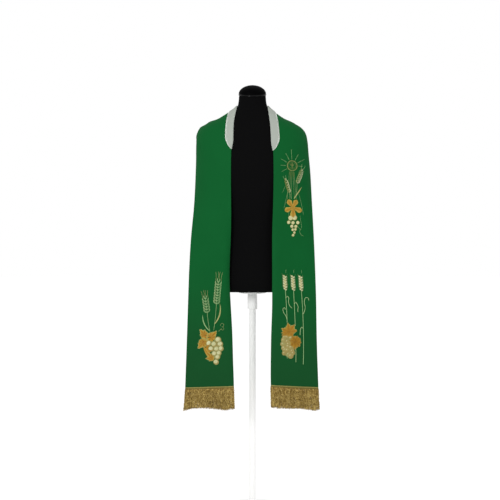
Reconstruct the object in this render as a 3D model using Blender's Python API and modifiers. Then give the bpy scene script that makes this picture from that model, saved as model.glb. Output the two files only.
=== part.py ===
"""A clerical stole on a limbless dress form.

The stole is two halves of cloth, each cut in one piece from its fringed end, up
over the chest and the shoulder, to a seam at the centre of the back. A white
collar strip is folded over the neck edge, and gold fringe hangs at both ends.
The cloth is worked out from the form that it lies on: over the shoulders it is
the form's own surface moved out, and below the chest it hangs free.

Metres, +Z up. The front faces -Y, and the wearer's left is at +X. The origin is
on the floor, at the middle of the base plate's underside.
"""

import math

import bpy
import numpy as np

# ---------------------------------------------------------------- dress form
FORM_BOTTOM = 0.826
NECK_TOP = 1.559          # middle of the slanted neck top
NECK_SLANT = math.radians(16.0)
SLANT_FROM = 1.532        # the neck's sections start to lean forward here

# height, half width, depth in front, depth behind, squareness of the section
FORM_SECTIONS = (
    (0.826, 0.171, 0.104, 0.104, 2.3),
    (0.860, 0.173, 0.107, 0.108, 2.3),
    (0.920, 0.167, 0.106, 0.102, 2.3),
    (0.990, 0.154, 0.104, 0.089, 2.3),
    (1.060, 0.148, 0.106, 0.084, 2.3),
    (1.130, 0.157, 0.114, 0.091, 2.3),
    (1.200, 0.174, 0.123, 0.103, 2.3),
    (1.260, 0.188, 0.126, 0.111, 2.3),
    (1.310, 0.200, 0.121, 0.114, 2.3),
    (1.345, 0.206, 0.111, 0.113, 2.3),
    (1.372, 0.206, 0.103, 0.110, 2.3),
    (1.392, 0.201, 0.097, 0.107, 2.3),
    (1.410, 0.195, 0.091, 0.103, 2.3),
    (1.423, 0.188, 0.087, 0.100, 2.3),
    (1.433, 0.178, 0.083, 0.097, 2.25),
    (1.443, 0.162, 0.079, 0.094, 2.2),
    (1.454, 0.142, 0.075, 0.090, 2.15),
    (1.465, 0.118, 0.071, 0.086, 2.1),
    (1.476, 0.101, 0.068, 0.082, 2.05),
    (1.487, 0.087, 0.064, 0.076, 2.0),
    (1.498, 0.074, 0.060, 0.070, 2.0),
    (1.509, 0.062, 0.056, 0.063, 2.0),
    (1.521, 0.0545, 0.054, 0.057, 2.0),
    (1.538, 0.0515, 0.0512, 0.052, 2.0),
    (1.559, 0.0498, 0.0498, 0.0498, 2.0),
)
FORM_RINGS = 32
FORM_SIDES = 40

CAP_RADIUS = 0.0514
CAP_RIM = 0.004
CAP_DOME = 0.033
CAP_SIDES = 30

# ---------------------------------------------------------------- stand
BASE_RADIUS = 0.150
BASE_THICK = 0.008
BASE_EDGE = 0.0025
HUB_RADIUS = 0.024
HUB_HEIGHT = 0.032
POLE_RADIUS = 0.0125
FLANGE_RADIUS = 0.050
FLANGE_THICK = 0.006
SOCKET_RADIUS = 0.018
SOCKET_HEIGHT = 0.060
SEAT_GAP = 0.0003

# ---------------------------------------------------------------- stole
CLOTH_THICK = 0.0020
CLOTH_OFF_FORM = 0.0045   # form's skin to the middle of the cloth
SEAM_GAP = 0.0003
NECK_EDGE_X = 0.062       # neck edge of a half, on top of the shoulder
SHOULDER_REACH = 0.190    # along the shoulder line, neck edge to outer edge
BACK_TOP = 1.503          # neck edge at the centre of the back
BACK_SEAM = 0.150         # length of the seam at the centre of the back
CHEST_LINE = (1.262, 1.368)   # height at which the neck and outer edges leave the form
HANG_SETTLE = 0.55        # the hanging part has come flat this far below the chest
HEADING_HIGH = 0.0070
HEADING_THICK = 0.0015
FRINGE_THICK = 0.0030
FRINGE_DROP = 0.0835      # from the top of the heading to the tips

# height, neck edge and outer edge of each hanging half, measured from the centre
HANGING_EDGES = {
    "right": (
        (0.478, 0.0668, 0.2458),
        (0.656, 0.0704, 0.2395),
        (0.800, 0.0765, 0.2348),
        (0.908, 0.0800, 0.2312),
        (1.016, 0.0785, 0.2262),
        (1.160, 0.0765, 0.2150),
        (1.262, 0.0770, 0.2115),
        (1.368, 0.0772, 0.2100),
    ),
    "left": (
        (0.478, 0.0646, 0.2408),
        (0.656, 0.0666, 0.2350),
        (0.800, 0.0708, 0.2325),
        (0.908, 0.0708, 0.2292),
        (1.016, 0.0710, 0.2258),
        (1.160, 0.0740, 0.2202),
        (1.262, 0.0752, 0.2168),
        (1.368, 0.0752, 0.2090),
    ),
}
# how much further each half stands off the form: along its shoulder, and at its outer edge
STANDS_OFF = {"right": (0.0055, 0.0030), "left": (0.0010, 0.0)}
# how late the neck edge bends in towards the neck on its way up: a power of the height
NECK_BEND = {"right": 8.0, "left": 4.0}
# hem height and depth, at the neck edge and at the outer edge
HEMS = {
    "right": {"z": (0.4915, 0.4800), "y": (-0.136, -0.098)},
    "left": {"z": (0.4950, 0.4805), "y": (-0.136, -0.098)},
}
SIDES = {"right": -1.0, "left": 1.0}

ACROSS = 9
HANG_ROWS = 12            # hem to chest line
BELOW_TIP_ROWS = 4        # chest line to the collar's front end
TIP_ROWS = 6              # beside the collar's rounded end
SHOULDER_ROWS = 10        # up to the top of the shoulder
BACK_ROWS = 13            # round to the seam at the back

# ---------------------------------------------------------------- collar
COLLAR_THICK = 0.0010
COLLAR_ON_CLOTH = (0.0245, 0.0290)   # width that lies on the stole, in front and behind
COLLAR_WIDENS = (1.4, 2.0)           # from chest line 1 to top of the shoulder 2
COLLAR_OVERHANG = 0.0060  # width that stands past the neck edge
COLLAR_UNDER = 0.0080     # width turned under the stole
COLLAR_GAP = 0.0011       # strip to cloth
COLLAR_LIFT = CLOTH_THICK / 2 + COLLAR_GAP + COLLAR_THICK / 2
COLLAR_TIP_Z = {"right": 1.346, "left": 1.340}   # height of each front end
COLLAR_TIP_ROUND = 0.052  # length over which each end narrows
COLLAR_TIP_WIDTH = 0.003
FOLD_SIDES = 5
LACE_WIDTH = 0.0040


# ================================================================ curves
def smooth_curve(at, knots, values):
    """A cubic through the knots that never swings past them."""
    knots = np.asarray(knots, float)
    values = np.asarray(values, float)
    width = np.diff(knots)
    rise = np.diff(values) / width
    slope = np.empty_like(values)
    slope[0], slope[-1] = rise[0], rise[-1]
    before, after = rise[:-1], rise[1:]
    together = before * after > 0
    total = np.where(together, before + after, 1.0)
    slope[1:-1] = np.where(together, 2 * before * after / total, 0.0)
    at = np.clip(at, knots[0], knots[-1])
    i = np.clip(np.searchsorted(knots, at) - 1, 0, len(width) - 1)
    t = (at - knots[i]) / width[i]
    a, b = values[i], values[i + 1]
    m, n = slope[i] * width[i], slope[i + 1] * width[i]
    return a + m * t + (3 * (b - a) - 2 * m - n) * t**2 + (2 * (a - b) + m + n) * t**3


def ease(t):
    """0 to 1 with level ends."""
    t = np.clip(t, 0.0, 1.0)
    return t * t * (3 - 2 * t)


def unit(vectors):
    return vectors / np.linalg.norm(vectors, axis=-1, keepdims=True)


# ================================================================ the form's surface
SECTION_COLUMNS = np.array(FORM_SECTIONS).T


def form_section(z):
    """Half width, depth in front, depth behind and squareness at a height."""
    heights = SECTION_COLUMNS[0]
    return [smooth_curve(z, heights, column) for column in SECTION_COLUMNS[1:]]


def form_level(points):
    """Below 1 inside the form, 1 on its skin, above 1 outside."""
    x, y, z = points[..., 0], points[..., 1], points[..., 2]
    half, front, behind, square = form_section(z)
    depth = np.where(y < 0, front, behind)
    return ((np.abs(x) / half) ** square + (np.abs(y) / depth) ** square) ** (1 / square)


def form_slope(points):
    """How fast the level rises along X, Y and Z."""
    step = 0.0002
    slopes = []
    for axis in np.eye(3) * step:
        slopes.append((form_level(points + axis) - form_level(points - axis)) / (2 * step))
    return np.stack(slopes, axis=-1)


def lay_on_form(points, gap):
    """Moves points square to the form's skin until they are the gap away from it."""
    for _ in range(14):
        slope = form_slope(points)
        steep = np.linalg.norm(slope, axis=-1)
        distance = (form_level(points) - 1) / steep
        move = np.clip(gap - distance, -0.02, 0.02)
        points = points + move[..., None] * slope / steep[..., None]
    return points


# ================================================================ the stole's surface
def shoulder_line(reach):
    """Points on top of the shoulder, at distances along it from the neck edge."""
    heights = np.linspace(1.36, 1.519, 400)
    outline = np.zeros((heights.size, 3))
    outline[:, 0] = form_section(heights)[0]
    outline[:, 2] = heights
    outline = lay_on_form(outline, CLOTH_OFF_FORM)[::-1]
    walked = np.concatenate([[0], np.cumsum(np.linalg.norm(np.diff(outline, axis=0), axis=1))])
    start = np.interp(NECK_EDGE_X, outline[:, 0], walked)
    at = start + reach
    columns = [np.interp(at, walked, outline[:, i]) for i in range(3)]
    return np.stack(columns, axis=-1)


def back_seam_line(drop):
    """Points on the centre of the back, at heights below the neck edge."""
    points = np.zeros(np.shape(drop) + (3,))
    points[..., 2] = BACK_TOP - drop
    points[..., 1] = form_section(points[..., 2])[2]
    return lay_on_form(points, CLOTH_OFF_FORM)


def gap_to_form(side, across, held):
    """How far the cloth lies off the form; held is 1 on the shoulder and 0 where it lies close."""
    along, edge = STANDS_OFF[side]
    spare = along * ease(across / 0.35) + edge * ease((across - 0.65) / 0.35)
    return CLOTH_OFF_FORM + spare * held


def on_chest(side, across, up):
    """The cloth from the chest line (up 0) to the top of the shoulder (up 1)."""
    edges = np.array(HANGING_EDGES[side]).T
    top = shoulder_line(across * SHOULDER_REACH)
    z_low = CHEST_LINE[0] + across * (CHEST_LINE[1] - CHEST_LINE[0])
    inner = smooth_curve(z_low, edges[0], edges[1])
    outer = smooth_curve(z_low, edges[0], edges[2])
    x_low = inner + across * (outer - inner)
    half, front, _, square = form_section(z_low)
    inside = np.clip(x_low / half, 0, 0.985)
    y_low = -front * (1 - inside**square) ** (1 / square)
    angle = up * math.pi / 2
    z = z_low + (top[..., 2] - z_low) * np.sin(angle)
    y = y_low * np.cos(angle)
    bend = 4 + (NECK_BEND[side] - 4) * (1 - across) ** 2
    x = x_low + (top[..., 0] - x_low) * ((z - z_low) / (top[..., 2] - z_low)) ** bend
    gap = gap_to_form(side, across, 0.3 + 0.7 * ease(up))
    return lay_on_form(np.stack([x, y, z], axis=-1), gap)


def hanging(side, across, up):
    """The free cloth from the hem (up 0) to the chest line (up 1)."""
    edges = np.array(HANGING_EDGES[side]).T
    hem = HEMS[side]
    z_hem = hem["z"][0] + across * (hem["z"][1] - hem["z"][0]) - HEADING_HIGH
    y_hem = hem["y"][0] + across * (hem["y"][1] - hem["y"][0])
    held = on_chest(side, across, np.zeros_like(across))
    z = z_hem + up * (held[..., 2] - z_hem)
    inner = smooth_curve(z, edges[0], edges[1])
    outer = smooth_curve(z, edges[0], edges[2])
    x = inner + across * (outer - inner)
    inner_top = smooth_curve(held[..., 2], edges[0], edges[1])
    outer_top = smooth_curve(held[..., 2], edges[0], edges[2])
    x_top = inner_top + across * (outer_top - inner_top)
    below = (held[..., 2] - z) / HANG_SETTLE
    x = x + (held[..., 0] - x_top) * (1 - ease(below * 2))
    y = held[..., 1] + (y_hem - held[..., 1]) * ease(below)
    return np.stack([x, y, z], axis=-1)


def on_back(side, across, round_):
    """The cloth from the top of the shoulder (0) round to the centre of the back (1)."""
    start = shoulder_line(across * SHOULDER_REACH)
    end = back_seam_line(across * BACK_SEAM)
    quarter = math.pi / 2
    leave = np.zeros_like(start)
    leave[..., 1] = end[..., 1] * quarter
    arrive = np.zeros_like(start)
    arrive[..., 0] = -start[..., 0] * quarter
    t = round_[..., None]
    base = (
        start * (2 * t**3 - 3 * t**2 + 1)
        + leave * (t**3 - 2 * t**2 + t)
        + end * (3 * t**2 - 2 * t**3)
        + arrive * (t**3 - t**2)
    )
    return lay_on_form(base, gap_to_form(side, across, 1 - ease(round_)))


def stole_points(side, across, along):
    """Middle of the cloth. Along: 0 hem, 1 chest line, 2 top of shoulder, 3 back seam."""
    across, along = np.broadcast_arrays(np.asarray(across, float), np.asarray(along, float))
    low = hanging(side, across, np.clip(along, 0, 1))
    chest = on_chest(side, across, np.clip(along - 1, 0, 1))
    back = on_back(side, across, np.clip(along - 2, 0, 1))
    points = np.where((along < 1)[..., None], low, chest)
    points = np.where((along > 2)[..., None], back, points)
    points[..., 0] = SIDES[side] * np.maximum(points[..., 0], SEAM_GAP / 2)
    return points


def stole_outward(side, across, along):
    """The direction out of the cloth's face, away from the form."""
    step = 0.004
    wide = stole_points(side, across + step, along) - stole_points(side, across - step, along)
    low, high = np.maximum(along - step, 0), np.minimum(along + step, 3)
    long = stole_points(side, across, high) - stole_points(side, across, low)
    return unit(np.cross(wide, long)) * SIDES[side]


# ================================================================ objects
def material(name, colour, roughness, metallic=0.0):
    made = bpy.data.materials.new(name)
    made.use_nodes = True
    shader = made.node_tree.nodes["Principled BSDF"]
    shader.inputs["Base Color"].default_value = (*colour, 1.0)
    shader.inputs["Roughness"].default_value = roughness
    shader.inputs["Metallic"].default_value = metallic
    return made


def keep(name, mesh, collection, finish):
    made = bpy.data.objects.new(name, mesh)
    made.data.materials.append(finish)
    collection.objects.link(made)
    return made


def sheet_mesh(name, grid, flip=False):
    """An open surface through a grid of points, rows by columns."""
    rows, columns = grid.shape[:2]
    index = np.arange(rows * columns).reshape(rows, columns)
    corners = [index[:-1, :-1], index[:-1, 1:], index[1:, 1:], index[1:, :-1]]
    faces = np.stack(corners, axis=-1).reshape(-1, 4)
    if flip:
        faces = faces[:, ::-1]
    mesh = bpy.data.meshes.new(name)
    mesh.from_pydata(grid.reshape(-1, 3).tolist(), [], faces.tolist())
    mesh.shade_smooth()
    return mesh


def walled(made, thick):
    """Gives an open surface its wall, half to each side."""
    wall = made.modifiers.new("wall", "SOLIDIFY")
    wall.thickness = thick
    wall.offset = 0.0
    wall.use_even_offset = True
    return made


def loft_mesh(name, rings):
    """A closed body through rings of points, with a fan of faces at each end."""
    count, sides = rings.shape[:2]
    points = np.concatenate([rings.reshape(-1, 3), [rings[0].mean(0)], [rings[-1].mean(0)]])
    first, last = count * sides, count * sides + 1
    faces = []
    for ring in range(count - 1):
        for side in range(sides):
            a, b = ring * sides + side, ring * sides + (side + 1) % sides
            faces.append((a, b, b + sides, a + sides))
    for side in range(sides):
        following = (side + 1) % sides
        faces.append((first, following, side))
        faces.append((last, (count - 1) * sides + side, (count - 1) * sides + following))
    mesh = bpy.data.meshes.new(name)
    mesh.from_pydata(points.tolist(), [], faces)
    mesh.shade_smooth()
    mesh.set_sharp_from_angle(angle=math.radians(40))
    return mesh


def turned(name, profile, collection, finish, sides=40):
    """A profile of (radius, height) from the top down, turned about Z."""
    mesh = bpy.data.meshes.new(name)
    points = [(radius, 0.0, height) for radius, height in profile]
    mesh.from_pydata(points, [(i, i + 1) for i in range(len(points) - 1)], [])
    made = keep(name, mesh, collection, finish)
    spin = made.modifiers.new("turn", "SCREW")
    spin.steps = sides
    spin.render_steps = sides
    spin.use_merge_vertices = True
    spin.merge_threshold = 0.0001
    spin.use_smooth_shade = True
    return made


# ================================================================ dress form
def build_form(collection, finish):
    """The torso and neck: level rings that lean forward towards the slanted neck top."""
    spread = np.linspace(0, 1, FORM_RINGS)
    heights = np.array(FORM_SECTIONS)[:, 0]
    rings = np.interp(spread, np.linspace(0, 1, heights.size), heights)
    angle = np.linspace(0, 2 * math.pi, FORM_SIDES, endpoint=False)
    half, front, behind, square = (column[:, None] for column in form_section(rings))
    cos, sin = np.cos(angle)[None, :], np.sin(angle)[None, :]
    depth = np.where(sin < 0, front, behind)
    x = half * np.sign(cos) * np.abs(cos) ** (2 / square)
    y = depth * np.sign(sin) * np.abs(sin) ** (2 / square)
    lean = ease((rings - SLANT_FROM) / (NECK_TOP - SLANT_FROM))[:, None]
    z = rings[:, None] + y * math.tan(NECK_SLANT) * lean
    return keep("form_torso", loft_mesh("form_torso", np.stack([x, y, z], -1)), collection, finish)


def build_neck_cap(collection, finish):
    """A low dome with a short rim, set square on the slanted neck top."""
    swing = np.linspace(math.pi / 2, 0, 9)
    dome = [(CAP_RADIUS * math.cos(a), CAP_RIM + CAP_DOME * math.sin(a)) for a in swing]
    dome[0] = (0.0, CAP_RIM + CAP_DOME)
    made = turned("form_neck_cap", dome + [(CAP_RADIUS, 0.0), (0.0, 0.0)], collection, finish, CAP_SIDES)
    made.location = (0.0, 0.0, NECK_TOP + SEAT_GAP / math.cos(NECK_SLANT))
    made.rotation_euler = (NECK_SLANT, 0.0, 0.0)
    return made


# ================================================================ stand
def build_stand(collection, finish):
    edge = BASE_EDGE
    base = [(0.0, BASE_THICK), (BASE_RADIUS - edge, BASE_THICK), (BASE_RADIUS, BASE_THICK - edge)]
    turned("stand_base", base + [(BASE_RADIUS, 0.0), (0.0, 0.0)], collection, finish, 56)

    hub_low = BASE_THICK + SEAT_GAP
    hub_top = hub_low + HUB_HEIGHT
    hub = [(0.0, hub_top), (HUB_RADIUS * 0.72, hub_top), (HUB_RADIUS, hub_low + 0.004)]
    turned("stand_hub", hub + [(HUB_RADIUS, hub_low), (0.0, hub_low)], collection, finish, 32)

    socket_top = FORM_BOTTOM - SEAT_GAP
    plate_low = socket_top - FLANGE_THICK
    socket_low = plate_low - SOCKET_HEIGHT
    socket = [(0.0, socket_top), (FLANGE_RADIUS, socket_top), (FLANGE_RADIUS, plate_low)]
    socket += [(SOCKET_RADIUS, plate_low - 0.004), (SOCKET_RADIUS, socket_low), (0.0, socket_low)]
    turned("stand_socket", socket, collection, finish, 32)

    pole_low, pole_top = hub_top + SEAT_GAP, socket_low - SEAT_GAP
    bpy.ops.mesh.primitive_cylinder_add(
        vertices=24,
        radius=POLE_RADIUS,
        depth=pole_top - pole_low,
        location=(0.0, 0.0, (pole_top + pole_low) / 2),
    )
    pole = bpy.context.object
    pole.name = pole.data.name = "stand_pole"
    pole.data.materials.append(finish)
    pole.data.shade_smooth()
    pole.data.set_sharp_from_angle(angle=math.radians(40))
    for holder in pole.users_collection:
        holder.objects.unlink(pole)
    collection.objects.link(pole)


# ================================================================ stole halves and fringe
def along_at(side, length):
    """Where the neck edge is a length further along than the collar's front end."""
    fine = np.linspace(1.0, 2.0, 300)
    edge = stole_points(side, np.zeros_like(fine), fine)
    walked = np.concatenate([[0], np.cumsum(np.linalg.norm(np.diff(edge, axis=0), axis=1))])
    begin = np.interp(COLLAR_TIP_Z[side], edge[:, 2], walked)
    return np.interp(begin + length, walked, fine)


def half_rows(side):
    """The rows of a half from hem to back seam, and the first of them under the collar."""
    near = along_at(side, np.linspace(0, 1, TIP_ROWS) ** 1.5 * COLLAR_TIP_ROUND)
    hang = np.linspace(0, 1, HANG_ROWS, endpoint=False)
    below = np.linspace(1, near[0], BELOW_TIP_ROWS, endpoint=False)
    above = np.linspace(near[-1], 2, SHOULDER_ROWS, endpoint=False)[1:]
    back = 2 + np.linspace(0, 1, BACK_ROWS)
    return np.concatenate([hang, below, near, above, back]), hang.size + below.size


def half_grid(side):
    """Points through the middle of a half's cloth and the way out of its face at each."""
    along = half_rows(side)[0][:, None]
    across = np.linspace(0, 1, ACROSS)[None, :]
    return stole_points(side, across, along), stole_outward(side, across, along + 0 * across)


def build_half(side, collection, finish):
    name = f"stole_{side}_half"
    mesh = sheet_mesh(name, half_grid(side)[0], flip=side == "right")
    return walled(keep(name, mesh, collection, finish), CLOTH_THICK)


def hem_strip(side, drops, lift):
    """Rows in line with a half's lowest rows, at drops below the top of its heading."""
    grid, face = half_grid(side)
    down = unit(grid[0] - grid[1])[None]
    drop = np.asarray(drops)[:, None, None] - HEADING_HIGH
    return grid[0][None] + down * drop + face[0][None] * lift


def build_fringe(side, collection, gold):
    """The woven heading on the hem's face, and the reach of the strands under it."""
    flip = side == "left"
    on_face = CLOTH_THICK / 2 + SEAM_GAP + HEADING_THICK / 2
    rows = hem_strip(side, (0.0, HEADING_HIGH), on_face)
    name = f"fringe_{side}_heading"
    heading = keep(name, sheet_mesh(name, rows, flip), collection, gold)
    walled(heading, HEADING_THICK)

    rows = hem_strip(side, np.linspace(HEADING_HIGH + SEAM_GAP, FRINGE_DROP, 4), 0.0005)
    name = f"fringe_{side}"
    strands = keep(name, sheet_mesh(name, rows, flip), collection, gold)
    return walled(strands, FRINGE_THICK)


# ================================================================ collar strip
def collar_width(side, along):
    """How far the strip reaches over the cloth: it narrows in a curve to each front end."""
    fine = np.linspace(0, COLLAR_TIP_ROUND, 60)
    distance = np.interp(along, along_at(side, fine), fine)
    rounding = 1 - distance / COLLAR_TIP_ROUND
    front, behind = COLLAR_ON_CLOTH
    full = front + (behind - front) * ease((along - COLLAR_WIDENS[0]) / np.ptp(COLLAR_WIDENS))
    return COLLAR_TIP_WIDTH + (full - COLLAR_TIP_WIDTH) * np.cos(rounding * math.pi / 2) ** 0.85


def neck_strip(side, places):
    """Points over a half's own rows, at (distance from the neck edge, height off the cloth)."""
    along, first = half_rows(side)
    grid, face = half_grid(side)
    rows = []
    for row in range(first, along.size):
        spots = np.array(places(collar_width(side, along[row])))
        walked = np.linalg.norm(np.diff(grid[row], axis=0), axis=1)
        walked = np.concatenate([[0], np.cumsum(walked)])
        on = [np.interp(spots[:, 0], walked, grid[row, :, i]) for i in range(3)]
        out = unit(np.stack([np.interp(spots[:, 0], walked, face[row, :, i]) for i in range(3)], -1))
        inwards = unit(grid[row, 0] - grid[row, 1])
        past = np.maximum(-spots[:, :1], 0)
        rows.append(np.stack(on, -1) + out * spots[:, 1:] + inwards * past)
    return np.array(rows)


def both_sides(places):
    """One strip from the left front end, round the back of the neck, to the right one."""
    left, right = neck_strip("left", places), neck_strip("right", places)
    middle = (left[-1:] + right[-1:]) / 2
    middle[..., 0] = 0.0
    return np.concatenate([left[:-1], middle, right[:-1][::-1]])


def fold_round():
    """The round of the fold, past the neck edge."""
    turn = np.linspace(math.pi / 2, -math.pi / 2, FOLD_SIDES)
    centre = COLLAR_LIFT - COLLAR_OVERHANG
    return [(centre - COLLAR_LIFT * math.cos(t), COLLAR_LIFT * math.sin(t)) for t in turn]


def collar_places(width):
    """The folded strip's section, from its edge on the cloth, over the fold and under."""
    on_cloth = [(width * share, COLLAR_LIFT) for share in (1.0, 0.66, 0.33, 0.0)]
    return on_cloth + fold_round() + [(COLLAR_UNDER, -COLLAR_LIFT)]


def lace_places(width):
    """The lace's section, beside the strip's edge on the cloth."""
    start = width + SEAM_GAP
    return [(start + LACE_WIDTH, COLLAR_LIFT), (start, COLLAR_LIFT)]


def build_collar(collection, cotton, lace_finish):
    mesh = sheet_mesh("collar_strip", both_sides(collar_places))
    walled(keep("collar_strip", mesh, collection, cotton), COLLAR_THICK)
    mesh = sheet_mesh("collar_lace", both_sides(lace_places))
    walled(keep("collar_lace", mesh, collection, lace_finish), COLLAR_THICK)


# ================================================================ build
def main():
    for old in list(bpy.data.objects):
        bpy.data.objects.remove(old)
    collection = bpy.data.collections.new("clerical_stole_on_dress_form")
    bpy.context.scene.collection.children.link(collection)

    jersey = material("black_jersey", (0.004, 0.004, 0.004), 0.85)
    gloss = material("black_gloss", (0.005, 0.005, 0.005), 0.35)
    powder = material("white_powder_coat", (0.80, 0.80, 0.80), 0.45)
    green = material("green_cloth", (0.008, 0.095, 0.022), 0.70)
    cotton = material("white_cotton", (0.48, 0.52, 0.46), 0.85)
    lace = material("white_lace", (0.62, 0.65, 0.60), 0.85)
    gold = material("gold_fringe", (0.42, 0.27, 0.08), 0.45, 0.4)

    build_form(collection, jersey)
    build_neck_cap(collection, gloss)
    build_stand(collection, powder)
    for side in SIDES:
        build_half(side, collection, green)
        build_fringe(side, collection, gold)
    build_collar(collection, cotton, lace)


main()
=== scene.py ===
# %% [markdown]
# A clerical stole on a dress form.
#
# A stole is a long band of cloth that lies over the shoulders and hangs down in front. This one is
# two halves of green cloth that meet in a seam at the centre of the back. It has a white strip
# folded over the neck edge, gold fringe at both ends, and wheat, vine leaves, grapes and a sun
# embroidered on the front. It rests on a limbless black form that stands on a slim white stand.
#
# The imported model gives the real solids. This lesson lays the finished surfaces around them: each
# piece of cloth is worked out again as a much finer shell with rounded edges and soft folds, and
# everything that is sewn on is placed on that shell. Metres, +Z up, the front faces -Y.

# %% load the frame
import math

import bpy
import numpy as np
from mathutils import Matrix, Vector


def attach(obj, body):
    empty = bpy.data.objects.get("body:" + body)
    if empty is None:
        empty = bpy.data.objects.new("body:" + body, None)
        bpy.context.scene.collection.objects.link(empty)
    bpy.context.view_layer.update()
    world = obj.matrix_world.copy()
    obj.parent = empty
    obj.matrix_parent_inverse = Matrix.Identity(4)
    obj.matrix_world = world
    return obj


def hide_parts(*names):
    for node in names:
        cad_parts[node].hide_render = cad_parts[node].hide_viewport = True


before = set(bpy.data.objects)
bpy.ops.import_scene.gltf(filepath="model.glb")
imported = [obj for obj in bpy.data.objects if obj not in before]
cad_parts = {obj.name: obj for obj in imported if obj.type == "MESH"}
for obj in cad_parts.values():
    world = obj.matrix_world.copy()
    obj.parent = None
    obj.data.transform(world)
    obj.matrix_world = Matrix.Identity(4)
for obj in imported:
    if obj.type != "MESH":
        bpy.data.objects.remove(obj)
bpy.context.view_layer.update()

random = np.random.default_rng(7)
print("CAD nodes:", sorted(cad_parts))

# %% [markdown]
# Four small pieces of arithmetic come back all through the lesson. A curve through a few knots
# gives every outline, a step with level ends fades things in and out, a direction is a vector
# divided by its own length, and a walk adds up the distance along a path. They work on whole
# arrays, so that one call shapes a whole surface.


# %% curves
def smooth_curve(at, knots, values, drawn=False):
    """A cubic through the knots that never swings past them, for outlines and measures.

    The slope at each knot is the harmonic mean of the rises beside it, or nothing where they
    turn, and between two knots the cubic is the Hermite one. A drawn line takes the slope of the
    parabola through a knot and its neighbours instead, which rounds its bends like a pen does.
    """
    knots = np.asarray(knots, float)
    values = np.asarray(values, float)
    width = np.diff(knots)
    rise = np.diff(values) / width
    slope = np.empty_like(values)
    slope[0], slope[-1] = rise[0], rise[-1]
    before, after = rise[:-1], rise[1:]
    together = before * after > 0
    total = np.where(together, before + after, 1.0)
    slope[1:-1] = np.where(together, 2 * before * after / total, 0.0)
    if drawn and len(knots) > 2:
        slope[1:-1] = (before * width[1:] + after * width[:-1]) / (width[1:] + width[:-1])
        slope[0] = 2 * rise[0] - slope[1]
        slope[-1] = 2 * rise[-1] - slope[-2]
    at = np.clip(at, knots[0], knots[-1])
    i = np.clip(np.searchsorted(knots, at) - 1, 0, len(width) - 1)
    t = (at - knots[i]) / width[i]
    a, b = values[i], values[i + 1]
    m, n = slope[i] * width[i], slope[i + 1] * width[i]
    return a + m * t + (3 * (b - a) - 2 * m - n) * t**2 + (2 * (a - b) + m + n) * t**3


def ease(t):
    """0 to 1 with level ends: t squared times (3 minus 2 t)."""
    t = np.clip(t, 0.0, 1.0)
    return t * t * (3 - 2 * t)


def unit(vectors):
    """Each vector divided by its length."""
    return vectors / np.maximum(np.linalg.norm(vectors, axis=-1, keepdims=True), 1e-12)


def walk(points):
    """The distance walked from the first point to each point of a path."""
    steps = np.linalg.norm(np.diff(points, axis=0), axis=-1)
    return np.concatenate([[0.0], np.cumsum(steps)])


print("halfway through a step:", float(ease(0.5)))

# %% [markdown]
# The form comes first, because the cloth takes its shape. A dress form of this kind is hard foam
# under a black jersey cover. It could be sculpted, but a short table of level sections says the
# same thing and can be measured: each row gives a height, the half width, the depth in front and
# behind, and how square the section is. The curve above fills in every height between the rows.

# %% the form's measures
FORM_BOTTOM = 0.826
NECK_TOP = 1.559
NECK_SLANT = math.radians(16.0)
SLANT_FROM = 1.532

# height, half width, depth in front, depth behind, squareness of the section
FORM_SECTIONS = (
    (0.826, 0.171, 0.104, 0.104, 2.3),
    (0.860, 0.173, 0.107, 0.108, 2.3),
    (0.920, 0.167, 0.106, 0.102, 2.3),
    (0.990, 0.154, 0.104, 0.089, 2.3),
    (1.060, 0.148, 0.106, 0.084, 2.3),
    (1.130, 0.157, 0.114, 0.091, 2.3),
    (1.200, 0.174, 0.123, 0.103, 2.3),
    (1.260, 0.188, 0.126, 0.111, 2.3),
    (1.310, 0.200, 0.121, 0.114, 2.3),
    (1.345, 0.206, 0.111, 0.113, 2.3),
    (1.372, 0.206, 0.103, 0.110, 2.3),
    (1.392, 0.201, 0.097, 0.107, 2.3),
    (1.410, 0.195, 0.091, 0.103, 2.3),
    (1.423, 0.188, 0.087, 0.100, 2.3),
    (1.433, 0.178, 0.083, 0.097, 2.25),
    (1.443, 0.162, 0.079, 0.094, 2.2),
    (1.454, 0.142, 0.075, 0.090, 2.15),
    (1.465, 0.118, 0.071, 0.086, 2.1),
    (1.476, 0.101, 0.068, 0.082, 2.05),
    (1.487, 0.087, 0.064, 0.076, 2.0),
    (1.498, 0.074, 0.060, 0.070, 2.0),
    (1.509, 0.062, 0.056, 0.063, 2.0),
    (1.521, 0.0545, 0.054, 0.057, 2.0),
    (1.538, 0.0515, 0.0512, 0.052, 2.0),
    (1.559, 0.0498, 0.0498, 0.0498, 2.0),
)
SECTION_COLUMNS = np.array(FORM_SECTIONS).T


def form_section(z):
    """Half width, depth in front, depth behind and squareness at a height."""
    return [smooth_curve(z, SECTION_COLUMNS[0], column) for column in SECTION_COLUMNS[1:]]


def form_level(points):
    """Below 1 inside the form, 1 on its skin and above 1 outside.

    It is the superellipse sum: (|x| / half width) to the n, plus (|y| / depth) to the n, and
    then the n-th root of that.
    """
    x, y, z = points[..., 0], points[..., 1], points[..., 2]
    half, front, behind, square = form_section(z)
    depth = np.where(y < 0, front, behind)
    return ((np.abs(x) / half) ** square + (np.abs(y) / depth) ** square) ** (1 / square)


def form_slope(points):
    """How fast the level rises along X, Y and Z, from two readings 0.2 mm to each side."""
    step = 0.0002
    slopes = [form_level(points + axis) - form_level(points - axis) for axis in np.eye(3) * step]
    return np.stack(slopes, axis=-1) / (2 * step)


def lay_on_form(points, gap):
    """Moves points square to the form's skin until they are the gap away from it.

    Distance is about (level - 1) / steepness, so each of the few steps takes most of the rest.
    """
    for _ in range(14):
        slope = form_slope(points)
        steep = np.linalg.norm(slope, axis=-1)
        distance = (form_level(points) - 1) / steep
        move = np.clip(gap - distance, -0.02, 0.02)
        points = points + move[..., None] * slope / steep[..., None]
    return points


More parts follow.
